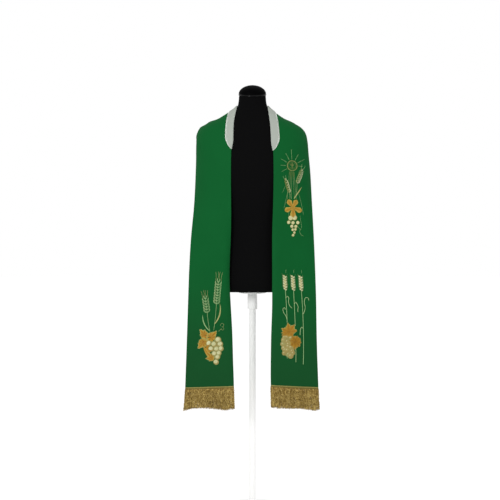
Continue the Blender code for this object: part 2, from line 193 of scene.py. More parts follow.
print("form is", FORM_SECTIONS[9][1] * 2, "m wide at the shoulders")

# %% [markdown]
# The cloth is a function of two numbers. The first runs across a half, from the neck edge to the
# outer edge, and the second along it: 0 at the hem, 1 where it leaves the chest, 2 on top of the
# shoulder and 3 at the seam in the back. Over the shoulder the cloth is the form's own surface
# moved out by a few millimetres. Below the chest it hangs free between two measured edges.

# %% the stole's measures
CLOTH_THICK = 0.0020
CLOTH_OFF_FORM = 0.0045
SEAM_GAP = 0.0003
NECK_EDGE_X = 0.062
SHOULDER_REACH = 0.190
BACK_TOP = 1.503
BACK_SEAM = 0.150
CHEST_LINE = (1.262, 1.368)
HANG_SETTLE = 0.55
HEADING_HIGH = 0.0070
FRINGE_DROP = 0.0835

# height, neck edge and outer edge of each hanging half, measured from the centre
HANGING_EDGES = {
    "right": (
        (0.478, 0.0668, 0.2458),
        (0.656, 0.0704, 0.2395),
        (0.800, 0.0765, 0.2348),
        (0.908, 0.0800, 0.2312),
        (1.016, 0.0785, 0.2262),
        (1.160, 0.0765, 0.2150),
        (1.262, 0.0770, 0.2115),
        (1.368, 0.0772, 0.2100),
    ),
    "left": (
        (0.478, 0.0646, 0.2408),
        (0.656, 0.0666, 0.2350),
        (0.800, 0.0708, 0.2325),
        (0.908, 0.0708, 0.2292),
        (1.016, 0.0710, 0.2258),
        (1.160, 0.0740, 0.2202),
        (1.262, 0.0752, 0.2168),
        (1.368, 0.0752, 0.2090),
    ),
}
# how much further each half stands off the form: along its shoulder, and at its outer edge
STANDS_OFF = {"right": (0.0055, 0.0030), "left": (0.0010, 0.0)}
# how late the neck edge bends in towards the neck on its way up: a power of the height
NECK_BEND = {"right": 8.0, "left": 4.0}
# height of the hem at the neck edge and at the outer edge, and its depth at the same two
HEM_HEIGHTS = {"right": (0.4915, 0.4800), "left": (0.4950, 0.4805)}
HEM_DEPTHS = (-0.136, -0.098)
SIDES = {"right": -1.0, "left": 1.0}


# %% the stole's surface
def shoulder_line(reach):
    """Points on top of the shoulder, at distances along it from the neck edge."""
    heights = np.linspace(1.36, 1.519, 400)
    outline = np.zeros((heights.size, 3))
    outline[:, 0] = form_section(heights)[0]
    outline[:, 2] = heights
    outline = lay_on_form(outline, CLOTH_OFF_FORM)[::-1]
    walked = walk(outline)
    at = np.interp(NECK_EDGE_X, outline[:, 0], walked) + reach
    return np.stack([np.interp(at, walked, outline[:, i]) for i in range(3)], axis=-1)


def back_seam_line(drop):
    """Points on the centre of the back, at heights below the neck edge."""
    points = np.zeros(np.shape(drop) + (3,))
    points[..., 2] = BACK_TOP - drop
    points[..., 1] = form_section(points[..., 2])[2]
    return lay_on_form(points, CLOTH_OFF_FORM)


def gap_to_form(side, across, held):
    """How far the cloth lies off the form; held is 1 on the shoulder and 0 where it lies close."""
    along, edge = STANDS_OFF[side]
    spare = along * ease(across / 0.35) + edge * ease((across - 0.65) / 0.35)
    return CLOTH_OFF_FORM + spare * held


def between(ends, share):
    """A share of the way from the first end to the second."""
    return ends[0] + share * (ends[1] - ends[0])


def band_x(side, across, z):
    """Distance from the centre at a height, from a band's measured neck edge to its outer edge."""
    heights, *edges = np.array(HANGING_EDGES[side]).T
    return between([smooth_curve(z, heights, edge) for edge in edges], across)


def on_chest(side, across, up):
    """The cloth from the chest line (up 0) to the top of the shoulder (up 1).

    Height and depth follow the sine and cosine of a quarter turn, and the result is laid on
    the form.
    """
    top = shoulder_line(across * SHOULDER_REACH)
    z_low = between(CHEST_LINE, across)
    x_low = band_x(side, across, z_low)
    half, front, _, square = form_section(z_low)
    inside = np.clip(x_low / half, 0, 0.985)
    y_low = -front * (1 - inside**square) ** (1 / square)
    angle = up * math.pi / 2
    z = between((z_low, top[..., 2]), np.sin(angle))
    y = y_low * np.cos(angle)
    bend = 4 + (NECK_BEND[side] - 4) * (1 - across) ** 2
    x = between((x_low, top[..., 0]), ((z - z_low) / (top[..., 2] - z_low)) ** bend)
    gap = gap_to_form(side, across, 0.3 + 0.7 * ease(up))
    return lay_on_form(np.stack([x, y, z], axis=-1), gap)


def hanging(side, across, up):
    """The free cloth from the hem (up 0) to the chest line (up 1).

    It is a straight line across from edge to edge at each height. Its depth eases from the
    chest to the hem, and has settled at a set distance below the chest.
    """
    held_x, held_y, held_z = np.moveaxis(on_chest(side, across, np.zeros_like(across)), -1, 0)
    z = between((between(HEM_HEIGHTS[side], across) - HEADING_HIGH, held_z), up)
    below = (held_z - z) / HANG_SETTLE
    x = band_x(side, across, z) + (held_x - band_x(side, across, held_z)) * (1 - ease(below * 2))
    y = between((held_y, between(HEM_DEPTHS, across)), ease(below))
    return np.stack([x, y, z], axis=-1)


def on_back(side, across, round_):
    """The cloth from the top of the shoulder (0) round to the centre of the back (1).

    A Hermite curve leaves the shoulder backwards and reaches the seam sideways, and is then
    laid on the form.
    """
    start = shoulder_line(across * SHOULDER_REACH)
    end = back_seam_line(across * BACK_SEAM)
    quarter = math.pi / 2
    leave = np.zeros_like(start)
    leave[..., 1] = end[..., 1] * quarter
    arrive = np.zeros_like(start)
    arrive[..., 0] = -start[..., 0] * quarter
    t = round_[..., None]
    base = (
        start * (2 * t**3 - 3 * t**2 + 1)
        + leave * (t**3 - 2 * t**2 + t)
        + end * (3 * t**2 - 2 * t**3)
        + arrive * (t**3 - t**2)
    )
    return lay_on_form(base, gap_to_form(side, across, 1 - ease(round_)))


def stole_points(side, across, along):
    """Middle of the cloth. Along: 0 hem, 1 chest line, 2 top of shoulder, 3 back seam."""
    across, along = np.broadcast_arrays(np.asarray(across, float), np.asarray(along, float))
    low = hanging(side, across, np.clip(along, 0, 1))
    chest = on_chest(side, across, np.clip(along - 1, 0, 1))
    back = on_back(side, across, np.clip(along - 2, 0, 1))
    points = np.where((along < 1)[..., None], low, chest)
    points = np.where((along > 2)[..., None], back, points)
    points[..., 0] = SIDES[side] * np.maximum(points[..., 0], SEAM_GAP / 2)
    return points


print("hem of the right half starts at", stole_points("right", 0.0, 0.0).round(3))

# %% [markdown]
# Finishes are made from nodes, and node trees are easier to read as sums. One small class wraps
# an output socket and gives it the plus, minus and times signs, so that `1 - mask` adds
# its own Math node. A second class is the finish itself. It has one method for any other node.


# %% finishes
class Shade:
    """An output socket that can be used in a sum."""

    def __init__(self, finish, socket):
        self.finish = finish
        self.socket = socket

    def math(self, operation, *others):
        return self.finish.node("ShaderNodeMath", {"operation": operation}, dict(enumerate(others)))

    def __add__(self, other):
        return self.math("ADD", self, other)

    def __radd__(self, other):
        return self.math("ADD", other, self)

    def __sub__(self, other):
        return self.math("SUBTRACT", self, other)

    def __rsub__(self, other):
        return self.math("SUBTRACT", other, self)

    def __mul__(self, other):
        return self.math("MULTIPLY", self, other)

    def __rmul__(self, other):
        return self.math("MULTIPLY", other, self)

    def sine(self):
        return self.math("SINE", self)

    def swing(self):
        """The sine of a number of turns, from 0 to 1."""
        return (self * (2 * math.pi)).sine() * 0.5 + 0.5

    def size(self):
        return self.math("ABSOLUTE", self)


class Finish:
    """A material with one Principled shader, whose constants are set straight on its sockets."""

    def __init__(self, name, colour, roughness, metallic=0.0, **constants):
        self.name = name
        self.material = bpy.data.materials.new(name)
        self.material.use_nodes = True
        self.tree = self.material.node_tree
        self.shader = self.tree.nodes["Principled BSDF"]
        self.set("Base Color", (*colour, 1.0))
        self.set("Roughness", roughness)
        self.set("Metallic", metallic)
        for socket, value in constants.items():
            self.set(socket.replace("_", " "), value)

    def set(self, socket, value):
        """Puts a number on the shader's socket, or links what varies over the surface."""
        if isinstance(value, Shade):
            self.tree.links.new(value.socket, self.shader.inputs[socket])
        else:
            self.shader.inputs[socket].default_value = value

    def node(self, kind, settings=None, sockets=None, out=0):
        """Any node: its type, its settings, the values or links of its sockets, and an output."""
        made = self.tree.nodes.new(kind)
        for name, value in (settings or {}).items():
            if name == "stops":
                self.colour_stops(made.color_ramp, value)
            else:
                setattr(made, name, value)
        for name, value in (sockets or {}).items():
            if isinstance(value, Shade):
                self.tree.links.new(value.socket, made.inputs[name])
            else:
                made.inputs[name].default_value = value
        return Shade(self, made.outputs[out])

    @staticmethod
    def colour_stops(ramp, stops):
        while len(ramp.elements) < len(stops):
            ramp.elements.new(0.5)
        for element, (place, colour) in zip(ramp.elements, stops):
            element.position = place
            element.color = (*colour, 1.0)

    def axes(self, uv=True):
        """The piece's own coordinates, in metres, as three numbers."""
        place = self.node("ShaderNodeTexCoord", out="UV" if uv else "Object")
        parts = self.node("ShaderNodeSeparateXYZ", sockets={0: place})
        outputs = parts.socket.node.outputs
        return [Shade(self, output) for output in outputs], place

    def noise(self, place, scale, detail=3.0, stretch=(1.0, 1.0, 1.0)):
        """Soft noise of a scale in lumps a metre, stretched along each axis."""
        moved = self.node("ShaderNodeMapping", sockets={"Vector": place, "Scale": stretch})
        sockets = {"Vector": moved, "Scale": scale, "Detail": detail}
        return self.node("ShaderNodeTexNoise", sockets=sockets)

    def blend(self, share, first, second):
        """A colour between two colours, which are constants or links."""
        first, second = ((*c, 1.0) if isinstance(c, tuple) else c for c in (first, second))
        sockets = {0: share, 6: first, 7: second}
        return self.node("ShaderNodeMix", {"data_type": "RGBA"}, sockets, out=2)

    def bump(self, height, distance, strength=1.0):
        """Relief as deep as the distance, in metres, where the height goes from 0 to 1."""
        relief = {"Height": height, "Distance": distance, "Strength": strength}
        self.set("Normal", self.node("ShaderNodeBump", sockets=relief))


# %% [markdown]
# The stole's cloth is a plain weave of fine matte yarn. Its threads are 0.55 mm apart, so the
# weave is a product of two sines along the cloth's own cut, which the UV map holds in metres.
# The yarn is not quite even, so noise stretched along each thread direction is laid over it. A
# little sheen lifts the cloth where it turns away, as the short fibres of such a yarn do. Towards
# the hems the colour is painted darker and greyer, which is painted shade and painted sheen.

# %% green cloth
THREAD_APART = 0.00055
SHADED_ENDS_REACH = (0.02, 0.46)  # the hem ends are painted darker and greyer up to here: painted shade and painted sheen


def make_green_cloth():
    cloth = Finish(
        "green_cloth", (0.0022, 0.062, 0.0135), 0.75, Sheen_Weight=0.024, Sheen_Roughness=0.5,
        Sheen_Tint=(0.36, 0.9, 0.50, 1.0), Specular_IOR_Level=0.03,
    )
    (across, along, _), place = cloth.axes()
    turn = 2 * math.pi / THREAD_APART
    weave = (across * turn).sine() * (along * turn).sine() * 0.5 + 0.5
    weft, warp = (cloth.noise(place, 900.0, 2.0, way) for way in ((1.0, 0.06, 1.0), (0.06, 1.0, 1.0)))
    slubs = weft + warp
    cloud = cloth.noise(place, 9.0, 4.0)
    share = slubs * 0.30 + weave * 0.15 + cloud * 0.35
    # the lower ends are painted darker and greyer than the upper green: painted shade, with a greyer
    # tint that stands in for sheen
    upper_green = cloth.blend(share, (0.0014, 0.050, 0.0108), (0.0030, 0.076, 0.0166))
    shaded_ends = cloth.blend(share, (0.0042, 0.040, 0.0105), (0.0064, 0.060, 0.0158))
    smooth = {"interpolation_type": "SMOOTHSTEP"}
    above_shade = cloth.node("ShaderNodeMapRange", smooth, {0: along, 1: SHADED_ENDS_REACH[0], 2: SHADED_ENDS_REACH[1]})
    cloth.set("Base Color", cloth.blend(above_shade, shaded_ends, upper_green))
    cloth.set("Roughness", slubs * 0.08 + 0.64)
    cloth.bump(weave * 0.6 + slubs * 0.35, 0.00012, 0.6)
    return cloth


green_cloth = make_green_cloth()
print("green cloth has", len(green_cloth.tree.nodes), "nodes")

# %% [markdown]
# The collar strip is white cotton with a fine twill line, greyer than the lace beside it because
# it is matte and closely woven. The lace is the same white in a smoother mercerised thread.

# %% white cotton and lace
TWILL_APART = 0.0006


def make_white_cotton():
    cotton = Finish(
        "white_cotton", (0.28, 0.31, 0.27), 0.85, Sheen_Weight=0.05, Specular_IOR_Level=0.2
    )
    (across, along, _), place = cotton.axes()
    twill = ((across + along) * (1 / TWILL_APART)).swing()
    lint = cotton.noise(place, 700.0, 3.0)
    share = lint * 0.6 + twill * 0.2
    cotton.set("Base Color", cotton.blend(share, (0.230, 0.254, 0.224), (0.290, 0.313, 0.280)))
    cotton.bump(twill * 0.6 + lint * 0.4, 0.00010, 0.6)
    return cotton


def make_white_lace():
    lace = Finish("white_lace", (0.66, 0.70, 0.64), 0.6)
    fibre = lace.noise(lace.axes(uv=False)[1], 2500.0, 2.0)
    lace.set("Base Color", lace.blend(fibre, (0.58, 0.61, 0.56), (0.72, 0.75, 0.70)))
    lace.bump(fibre, 0.00006, 0.5)
    return lace


white_cotton = make_white_cotton()
white_lace = make_white_lace()
print("white finishes:", white_cotton.name, white_lace.name)

# %% [markdown]
# Gold fringe and embroidery silk are both twisted or laid threads with a shine. Every thread of a
# piece carries a number called tone, from 0 for the darkest to 1 for the lightest, and the finish
# turns it into a colour. The fine ply lines run round the thread, which its UV map follows.


# %% thread finishes
def make_thread(
    name, stops, roughness, metallic, ply_turns, ply_depth, mottle, lumps=1400.0, uneven=1.3
):
    """A thread: its colours by tone, its ply lines, and how much they and the fibres mottle it."""
    thread = Finish(name, stops[1][1], roughness, metallic, Specular_IOR_Level=0.2)
    tone = thread.node("ShaderNodeAttribute", {"attribute_name": "tone"}, out="Fac")
    around, along, _ = thread.axes()[0]
    ply = (around + along * ply_turns).swing()
    glint = thread.noise(thread.axes(uv=False)[1], lumps, 2.0)
    shade = tone + (ply - 0.5) * mottle + (glint - 0.5) * (mottle * uneven)
    thread.set("Base Color", thread.node("ShaderNodeValToRGB", {"stops": stops}, {0: shade}))
    thread.set("Roughness", glint * 0.15 + (roughness - 0.07))
    thread.bump(ply, ply_depth, 0.7)
    return thread


gold_fringe = make_thread(
    "gold_fringe",
    ((0.0, (0.11, 0.062, 0.010)), (0.45, (0.37, 0.25, 0.062)), (1.0, (0.74, 0.58, 0.21))),
    roughness=0.50, metallic=0.25, ply_turns=260.0, ply_depth=0.00020, mottle=0.45,
    lumps=360.0, uneven=3.2,
)
gold_braid = make_thread(
    "gold_braid",
    ((0.0, (0.12, 0.085, 0.018)), (0.45, (0.25, 0.215, 0.055)), (1.0, (0.42, 0.42, 0.17))),
    roughness=0.45, metallic=0.30, ply_turns=300.0, ply_depth=0.00020, mottle=0.30,
)
embroidery_gold = make_thread(
    "embroidery_gold",
    ((0.0, (0.24, 0.082, 0.006)), (0.45, (0.325, 0.176, 0.014)), (1.0, (0.42, 0.340, 0.070))),
    roughness=0.45, metallic=0.0, ply_turns=900.0, ply_depth=0.00006, mottle=0.10,
)
# the silk runs from leaf green over tan and a paler green to cream
cream_stops = (
    (0.0, (0.035, 0.11, 0.022)), (0.2, (0.13, 0.19, 0.05)), (0.4, (0.34, 0.245, 0.080)),
    (0.6, (0.19, 0.36, 0.150)), (0.8, (0.47, 0.45, 0.23)), (1.0, (0.56, 0.57, 0.38)),
)
embroidery_cream = make_thread(
    "embroidery_cream", cream_stops,
    roughness=0.48, metallic=0.0, ply_turns=900.0, ply_depth=0.00006, mottle=0.08,
)
threads = gold_fringe, gold_braid, embroidery_gold, embroidery_cream
print("thread finishes:", *(thread.name for thread in threads))

# %% [markdown]
# The form's jersey is so black that it hardly shows its knit: rows of stitches a little over a
# millimetre wide. Its cap is the same black in a smooth, slightly glossy plastic. The stand is
# steel with a white powder coat, which has the faint, even dimples called orange peel.


# %% black jersey, cap and stand
def make_black_jersey():
    jersey = Finish("black_jersey", (0.0026, 0.0026, 0.0027), 0.9, Specular_IOR_Level=0.01)
    (across, along, _), place = jersey.axes()
    wale = (across * (math.pi / 0.0012)).sine().size()
    course = ((along + wale * 0.0006) * (1 / 0.0011)).swing()
    pile = jersey.noise(place, 600.0, 3.0)
    jersey.set("Base Color", jersey.blend(pile, (0.0018, 0.0018, 0.0019), (0.0034, 0.0034, 0.0035)))
    jersey.bump(wale * 0.6 + course * 0.4, 0.00025, 0.8)
    return jersey


def make_black_gloss():
    gloss = Finish(
        "black_gloss", (0.0005, 0.0005, 0.0006), 0.22, Specular_IOR_Level=0.014, Coat_Roughness=0.15
    )
    dimples = gloss.noise(gloss.axes(uv=False)[1], 300.0, 3.0)
    dome = gloss.node("ShaderNodeAttribute", {"attribute_name": "tone"}, out="Fac")
    gloss.set("Roughness", dome * 0.38 + dimples * 0.06 + 0.14)
    gloss.set("Coat Weight", 0.28 - dome * 0.28)
    gloss.bump(dimples, 0.00005, 0.4)
    return gloss


def make_white_powder_coat():
    coat = Finish("white_powder_coat", (0.80, 0.80, 0.79), 0.45)
    peel = coat.noise(coat.axes(uv=False)[1], 420.0, 2.0)
    coat.set("Base Color", coat.blend(peel, (0.77, 0.77, 0.76), (0.84, 0.84, 0.83)))
    coat.set("Roughness", peel * 0.15 + 0.38)
    coat.bump(peel, 0.00012, 0.5)
    return coat


black_jersey = make_black_jersey()
black_gloss = make_black_gloss()
white_powder_coat = make_white_powder_coat()
print("form and stand finishes:", black_jersey.name, black_gloss.name, white_powder_coat.name)

# %% [markdown]
# Every piece below is a mesh built from arrays. A grid of points gives its faces by arithmetic on
# row and column numbers, and each corner also keeps its row and column, from which its place on
# the UV map follows. Where a grid closes on itself, the last column joins the first, but its
# corners count on, so that the UV map has no seam that smears.


# %% mesh helpers
def grid_cells(rows, columns, around=False):
    """The four point numbers of each cell of a grid, and the row and column of each corner."""
    cells = np.arange(rows - 1), np.arange(columns if around else columns - 1)
    row, column = np.meshgrid(*cells, indexing="ij")
    corner_rows = np.stack([row, row, row + 1, row + 1], axis=-1).reshape(-1, 4)
    corner_columns = np.stack([column, column + 1, column + 1, column], axis=-1).reshape(-1, 4)
    return corner_rows * columns + corner_columns % columns, corner_rows, corner_columns


def put_in_scene(name, data, place=(0.0, 0.0, 0.0)):
    """A new object with this data, linked into the scene."""
    made = bpy.data.objects.new(name, data)
    made.location = place
    bpy.context.scene.collection.objects.link(made)
    return made


def make_piece(name, points, faces, finish, uv=None, tone=None, stands_for=None):
    """A mesh object that rides on the part and takes the finish's slot.

    uv has one row for each face corner, in face order, tone has one number for each point, and
    stands_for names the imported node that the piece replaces.
    """
    mesh = bpy.data.meshes.new(name)
    mesh.from_pydata(points.reshape(-1, 3).tolist(), [], faces)
    if uv is not None:
        layer = mesh.uv_layers.new(name="cut")
        layer.data.foreach_set("uv", np.asarray(uv, np.float32).ravel())
    if tone is not None:
        values = mesh.attributes.new("tone", "FLOAT", "POINT")
        values.data.foreach_set("value", np.asarray(tone, np.float32).ravel())
    mesh.shade_smooth()
    mesh.materials.append(finish.material)
    made = put_in_scene(name, mesh)
    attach(made, "root")
    if stands_for:
        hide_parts(stands_for)
    print(f"{name}: {sum(len(f) - 2 for f in faces)} triangles")
    return made


# %% [markdown]
# Real cloth has a front, a back and an edge that is turned in and pressed round. A Solidify
# modifier would give it a square edge, so the shell is worked out instead: the front and the back
# are the middle surface moved out and in by half the thickness, and the half thickness falls to
# nothing along a quarter circle at every edge, where the front and the back share their points.
# The cloth that is turned in at the edges makes it a little thicker there.

# %% cloth shells
EDGE_ROUND = 0.0010
TURNED_IN = 0.0085
TURNED_IN_THICKER = 0.00016


def half_thickness(from_edge, thick, edge_round, turned_in=0.0):
    """Half the thickness times the height of a quarter circle at a distance from the edge."""
    inwards = np.clip(from_edge / edge_round, 0, 1)
    body = thick / 2 + turned_in * (1 - ease((from_edge - TURNED_IN) / 0.0015))
    return body * np.sqrt(np.clip(1 - (1 - inwards) ** 2, 0, 1))


def grid_face(middle):
    """The way out of a surface at each of its points: the cross product of its two slopes."""
    return unit(np.cross(np.gradient(middle, axis=1), np.gradient(middle, axis=0)))


def cloth_shell(middle, face, half):
    """Points and faces of a closed shell: front and back, sharing their points at the border.

    The front's points come first, in the order of the grid. The faces are turned over if on the
    whole the front faces against its own way out.
    """
    rows, columns = middle.shape[:2]
    back = np.arange(rows * columns).reshape(rows, columns)
    back[1:-1, 1:-1] = back.size + np.arange((rows - 2) * (columns - 2)).reshape(rows - 2, -1)
    front, behind = (middle + face * (half * way)[..., None] for way in (1, -1))
    points = np.concatenate([front.reshape(-1, 3), behind[1:-1, 1:-1].reshape(-1, 3)])
    cells = grid_cells(rows, columns)[0]
    a, b, c = (points[cells[:, i]] for i in range(3))
    if (np.cross(b - a, c - a) * face.reshape(-1, 3)[cells[:, 0]]).sum() < 0:
        cells = cells[:, ::-1]
    return points, np.concatenate([cells, back.ravel()[cells][:, ::-1]])


def shell_uv(across, along, faces):
    """The UV of each corner of a shell, from the distances across and along its middle."""
    pair = np.stack(np.broadcast_arrays(across, along), axis=-1)
    numbers = np.concatenate([pair.reshape(-1, 2), pair[1:-1, 1:-1].reshape(-1, 2)])
    return numbers[faces.ravel()]


# %% [markdown]
# Folds are placed one by one, as a tailor would find them: a table gives each one's two ends on the
# cut cloth, its width and its depth. Each is a soft trough or ridge, the bell curve of the
# distance from its line, which bows a little and fades out at both ends. This cloth is firm, so
# they are shallow. Below the chest the neck edges also roll back, most of all at the waist, and
# each band has a slow wave across it that grows towards the hem.

# %% folds
BAND_WIDE = 0.172
# half, start across and up, end across and up, width, height (negative is a trough), bow
FOLDS = (
    ("right", 0.018, 0.90, 0.060, 0.55, 0.016, -0.0012, 0.006),
    ("right", 0.105, 0.86, 0.088, 0.40, 0.022, 0.0010, -0.005),
    ("right", 0.150, 0.70, 0.128, 0.22, 0.018, -0.0010, 0.004),
    ("right", 0.045, 0.42, 0.070, 0.10, 0.020, 0.0012, 0.006),
    ("right", 0.030, 1.06, 0.165, 0.98, 0.020, -0.0011, 0.010),
    ("right", 0.040, 1.13, 0.160, 1.10, 0.017, 0.0009, 0.008),
    ("left", 0.022, 0.92, 0.050, 0.62, 0.018, 0.0010, -0.005),
    ("left", 0.140, 0.84, 0.120, 0.50, 0.020, -0.0011, 0.006),
    ("left", 0.070, 0.60, 0.092, 0.20, 0.024, -0.0010, -0.006),
    ("left", 0.145, 0.40, 0.135, 0.08, 0.018, 0.0011, 0.004),
    ("left", 0.035, 1.05, 0.160, 1.00, 0.019, -0.0012, -0.008),
    ("left", 0.030, 1.12, 0.165, 1.14, 0.018, 0.0008, 0.009),
    ("right", 0.020, 1.22, 0.150, 1.17, 0.014, -0.0010, 0.006),
    ("left", 0.025, 1.21, 0.140, 1.18, 0.015, -0.0009, -0.006),
)
# heights up each half, and how far round its neck edge has rolled there, in radians
ROLL_KNOTS = {
    "right": (
        (0.0, 0.35), (0.11, 0.90), (0.22, 1.00), (0.33, 1.20),
        (0.385, 1.32), (0.49, 1.12), (0.60, 0.62), (0.71, 0.0),
    ),
    "left": (
        (0.0, 1.10), (0.06, 0.50), (0.14, 0.15), (0.30, 0.25),
        (0.42, 0.75), (0.55, 0.60), (0.70, 0.0), (0.80, 0.0),
    ),
}
ROLL_WIDE = {"right": 0.033, "left": 0.020}
OUTER_ROLL = (0.020, 0.0030)
WAVE_HIGH = {"right": 0.0016, "left": 0.0013}


def fold_height(side, across, up):
    """The sum of the folds: height times the bell curve of the distance from each one's line."""
    total = np.zeros_like(across)
    for half, x0, y0, x1, y1, width, height, bow in FOLDS:
        if half != side:
            continue
        length = math.hypot(x1 - x0, y1 - y0)
        way_x, way_y = (x1 - x0) / length, (y1 - y0) / length
        t = ((across - x0) * way_x + (up - y0) * way_y) / length
        bowed = bow * np.sin(math.pi * np.clip(t, 0, 1))
        aside = (across - x0) * way_y - (up - y0) * way_x - bowed
        fade = ease(t / 0.3 + 0.5) * ease((1 - t) / 0.3 + 0.5)
        total += height * np.exp(-((aside / width) ** 2)) * fade
    return total


def roll_back(side, across, up, wide):
    """How far the edges have rolled: back from the face, and in towards the middle of the band.

    The neck edge goes round part of a circle, whose radius is the roll's width over its angle:
    back by radius times (1 - cosine), and in by what that takes from the width. The outer edge
    only drops back, by the square of the share of its roll left.
    """
    knots, turns = np.array(ROLL_KNOTS[side]).T
    full = np.maximum(smooth_curve(up, knots, turns), 1e-3)
    radius = ROLL_WIDE[side] / full
    rolled = np.maximum(ROLL_WIDE[side] - across, 0)
    back = radius * (1 - np.cos(rolled / radius))
    drawn_in = rolled - radius * np.sin(rolled / radius)
    outer_wide, outer_deep = OUTER_ROLL
    outer = outer_deep * np.clip(1 - (wide - across) / outer_wide, 0, 1) ** 2
    return back + outer * (1 - ease((up - 1.0) / 0.1)), drawn_in


def slow_wave(side, across, up):
    """A wave about 12 cm long across the band, which grows towards the hem."""
    phase = {"right": 0.6, "left": 2.1}[side]
    grows = 1 - ease(up / 0.8)
    drift = 0.5 * np.sin(up * 4.1 + phase)
    return WAVE_HIGH[side] * grows * np.sin(across * (2 * math.pi / 0.12) + phase + drift)


print(len(FOLDS), "folds placed by hand")

# %% [markdown]
# One object now holds each half's finished surface as a fine table of points, rows by columns.
# It makes the shell, and it also answers the question that every later step asks: where is the
# point that lies so far across and so far along, this far off the face? It reads its own table
# with straight-line interpolation, so whatever is sewn on follows the mesh exactly.


# %% the two halves
def read(table, row, column):
    """A table's value between its points, in a straight line each way."""
    row = np.clip(row, 0, table.shape[0] - 1.0001)
    column = np.clip(column, 0, table.shape[1] - 1.0001)
    r, c = row.astype(int), column.astype(int)
    down, right = (row - r)[..., None], (column - c)[..., None]
    near = between((table[r, c], table[r, c + 1]), right)
    far = between((table[r + 1, c], table[r + 1, c + 1]), right)
    return between((near, far), down)


class Half:
    """The finished surface of one half of the stole."""

    EDGE_STEPS = np.array([0.0, 0.00012, 0.00045, 0.0010, 0.0022, 0.0045])
    ROW_STEP = 0.0052
    COLUMNS_BETWEEN = 34
    PRESSINGS = 12
    PINNED_ROWS = 8
    NEWTON_STEPS = 8

    def __init__(self, side):
        fine = np.linspace(0, 3, 700)
        lengths = walk(stole_points(side, 0.5, fine))
        self.length = lengths[-1]
        inside = np.arange(0.010, self.length - 0.008, self.ROW_STEP)
        self.up = np.concatenate([self.EDGE_STEPS, inside, self.length - self.EDGE_STEPS[::-1]])
        edge = self.EDGE_STEPS / BAND_WIDE
        inside = np.linspace(0.05, 0.95, self.COLUMNS_BETWEEN)
        self.across = np.concatenate([edge, inside, 1 - edge[::-1]])
        along = np.interp(self.up, lengths, fine)
        middle = self.pressed(stole_points(side, self.across[None, :], along[:, None]))
        steps = np.linalg.norm(np.diff(middle, axis=1), axis=-1).cumsum(1)
        self.walked = np.concatenate([np.zeros((len(self.up), 1)), steps], axis=1)
        self.wide = self.walked[:, -1]
        up = np.broadcast_to(self.up[:, None], self.walked.shape)
        lift = fold_height(side, self.walked, up) + slow_wave(side, self.walked, up)
        back, drawn_in = roll_back(side, self.walked, up, self.wide[:, None])
        inwards = unit(np.gradient(middle, axis=1)) * drawn_in[..., None]
        middle = middle + grid_face(middle) * SIDES[side] * (lift - back)[..., None] + inwards
        middle[:, :, 0] = SIDES[side] * np.maximum(np.abs(middle[:, :, 0]), SEAM_GAP / 2)
        self.middle, self.face = middle, grid_face(middle) * SIDES[side]
        from_side = np.minimum(self.walked, self.wide[:, None] - self.walked)
        from_edge = np.minimum(from_side, np.minimum(self.up, self.length - self.up)[:, None])
        self.half = half_thickness(from_edge, CLOTH_THICK, EDGE_ROUND, TURNED_IN_THICKER)
        self.front = self.middle + self.face * self.half[..., None]
        self.top_row = int(np.argmax(self.middle[:, len(self.across) // 2, 2]))

    def pressed(self, points):
        """The rows smoothed along the cloth, for a turn over the shoulder without a crease."""
        ends, made = self.PINNED_ROWS, points.copy()
        for _ in range(self.PRESSINGS):
            made[1:-1] = made[1:-1] * 0.5 + (made[:-2] + made[2:]) * 0.25
            made[:ends], made[-ends:] = points[:ends], points[-ends:]
        return made

    def on_face(self, row, column, lift):
        """Points this far off the front face, and the way out there."""
        out = unit(read(self.face, row, column))
        return read(self.front, row, column) + out * np.asarray(lift)[..., None], out

    def find(self, x, z):
        """The row and column under a place seen from the front, by Newton's steps."""
        mid = self.front[: self.top_row, len(self.across) // 2]
        row = np.interp(z, mid[:, 2], np.arange(len(mid)))
        column = np.full(row.shape, len(self.across) / 2)
        for _ in range(self.NEWTON_STEPS):
            here = read(self.front, row, column)
            down = read(self.front, row + 0.5, column) - here
            right = read(self.front, row, column + 0.5) - here
            miss_x, miss_z = x - here[..., 0], z - here[..., 2]
            size = down[..., 0] * right[..., 2] - down[..., 2] * right[..., 0]
            row = row + 0.5 * (miss_x * right[..., 2] - miss_z * right[..., 0]) / size
            column = column + 0.5 * (miss_z * down[..., 0] - miss_x * down[..., 2]) / size
            row = np.clip(row, 0, self.top_row)
            column = np.clip(column, 0, len(self.across) - 1.001)
        return row, column

    def column_at(self, row, distance):
        """The column at a distance from the neck edge."""
        wide = np.interp(row, np.arange(len(self.wide)), self.wide)
        return np.interp(distance / wide, self.across, np.arange(len(self.across)))


def make_half(side):
    half = Half(side)
    points, faces = cloth_shell(half.middle, half.face, half.half)
    uv = shell_uv(half.walked, half.up[:, None], faces)
    piece = make_piece(
        f"stole_{side}_cloth", points, faces.tolist(), green_cloth, uv, stands_for=f"stole_{side}_half"
    )
    cut = float(half.wide @ np.gradient(half.up))
    narrow, wide = half.wide.min(), half.wide.max()
    print(f"  {half.length:.3f} m long, {narrow:.3f} to {wide:.3f} m wide, {cut:.4f} m2")
    return half, piece, cut


halves, half_pieces, half_cuts = {}, {}, {}
for side in SIDES:
    halves[side], half_pieces[side], half_cuts[side] = make_half(side)


# %% [markdown]
# The torso is the form's own function on a fine grid, from its underside to the slanted neck.
# The jersey cover is turned up at the bottom, so its last 56 millimetres are two layers thick
# and end in a faint line.

# %% the form
COVER_HEM = 0.882
HEM_STEP = 0.0007
UNDERSIDE_ROUND = 0.0025
GIRTH_RING = 60  # the ring whose girth lays out the knit


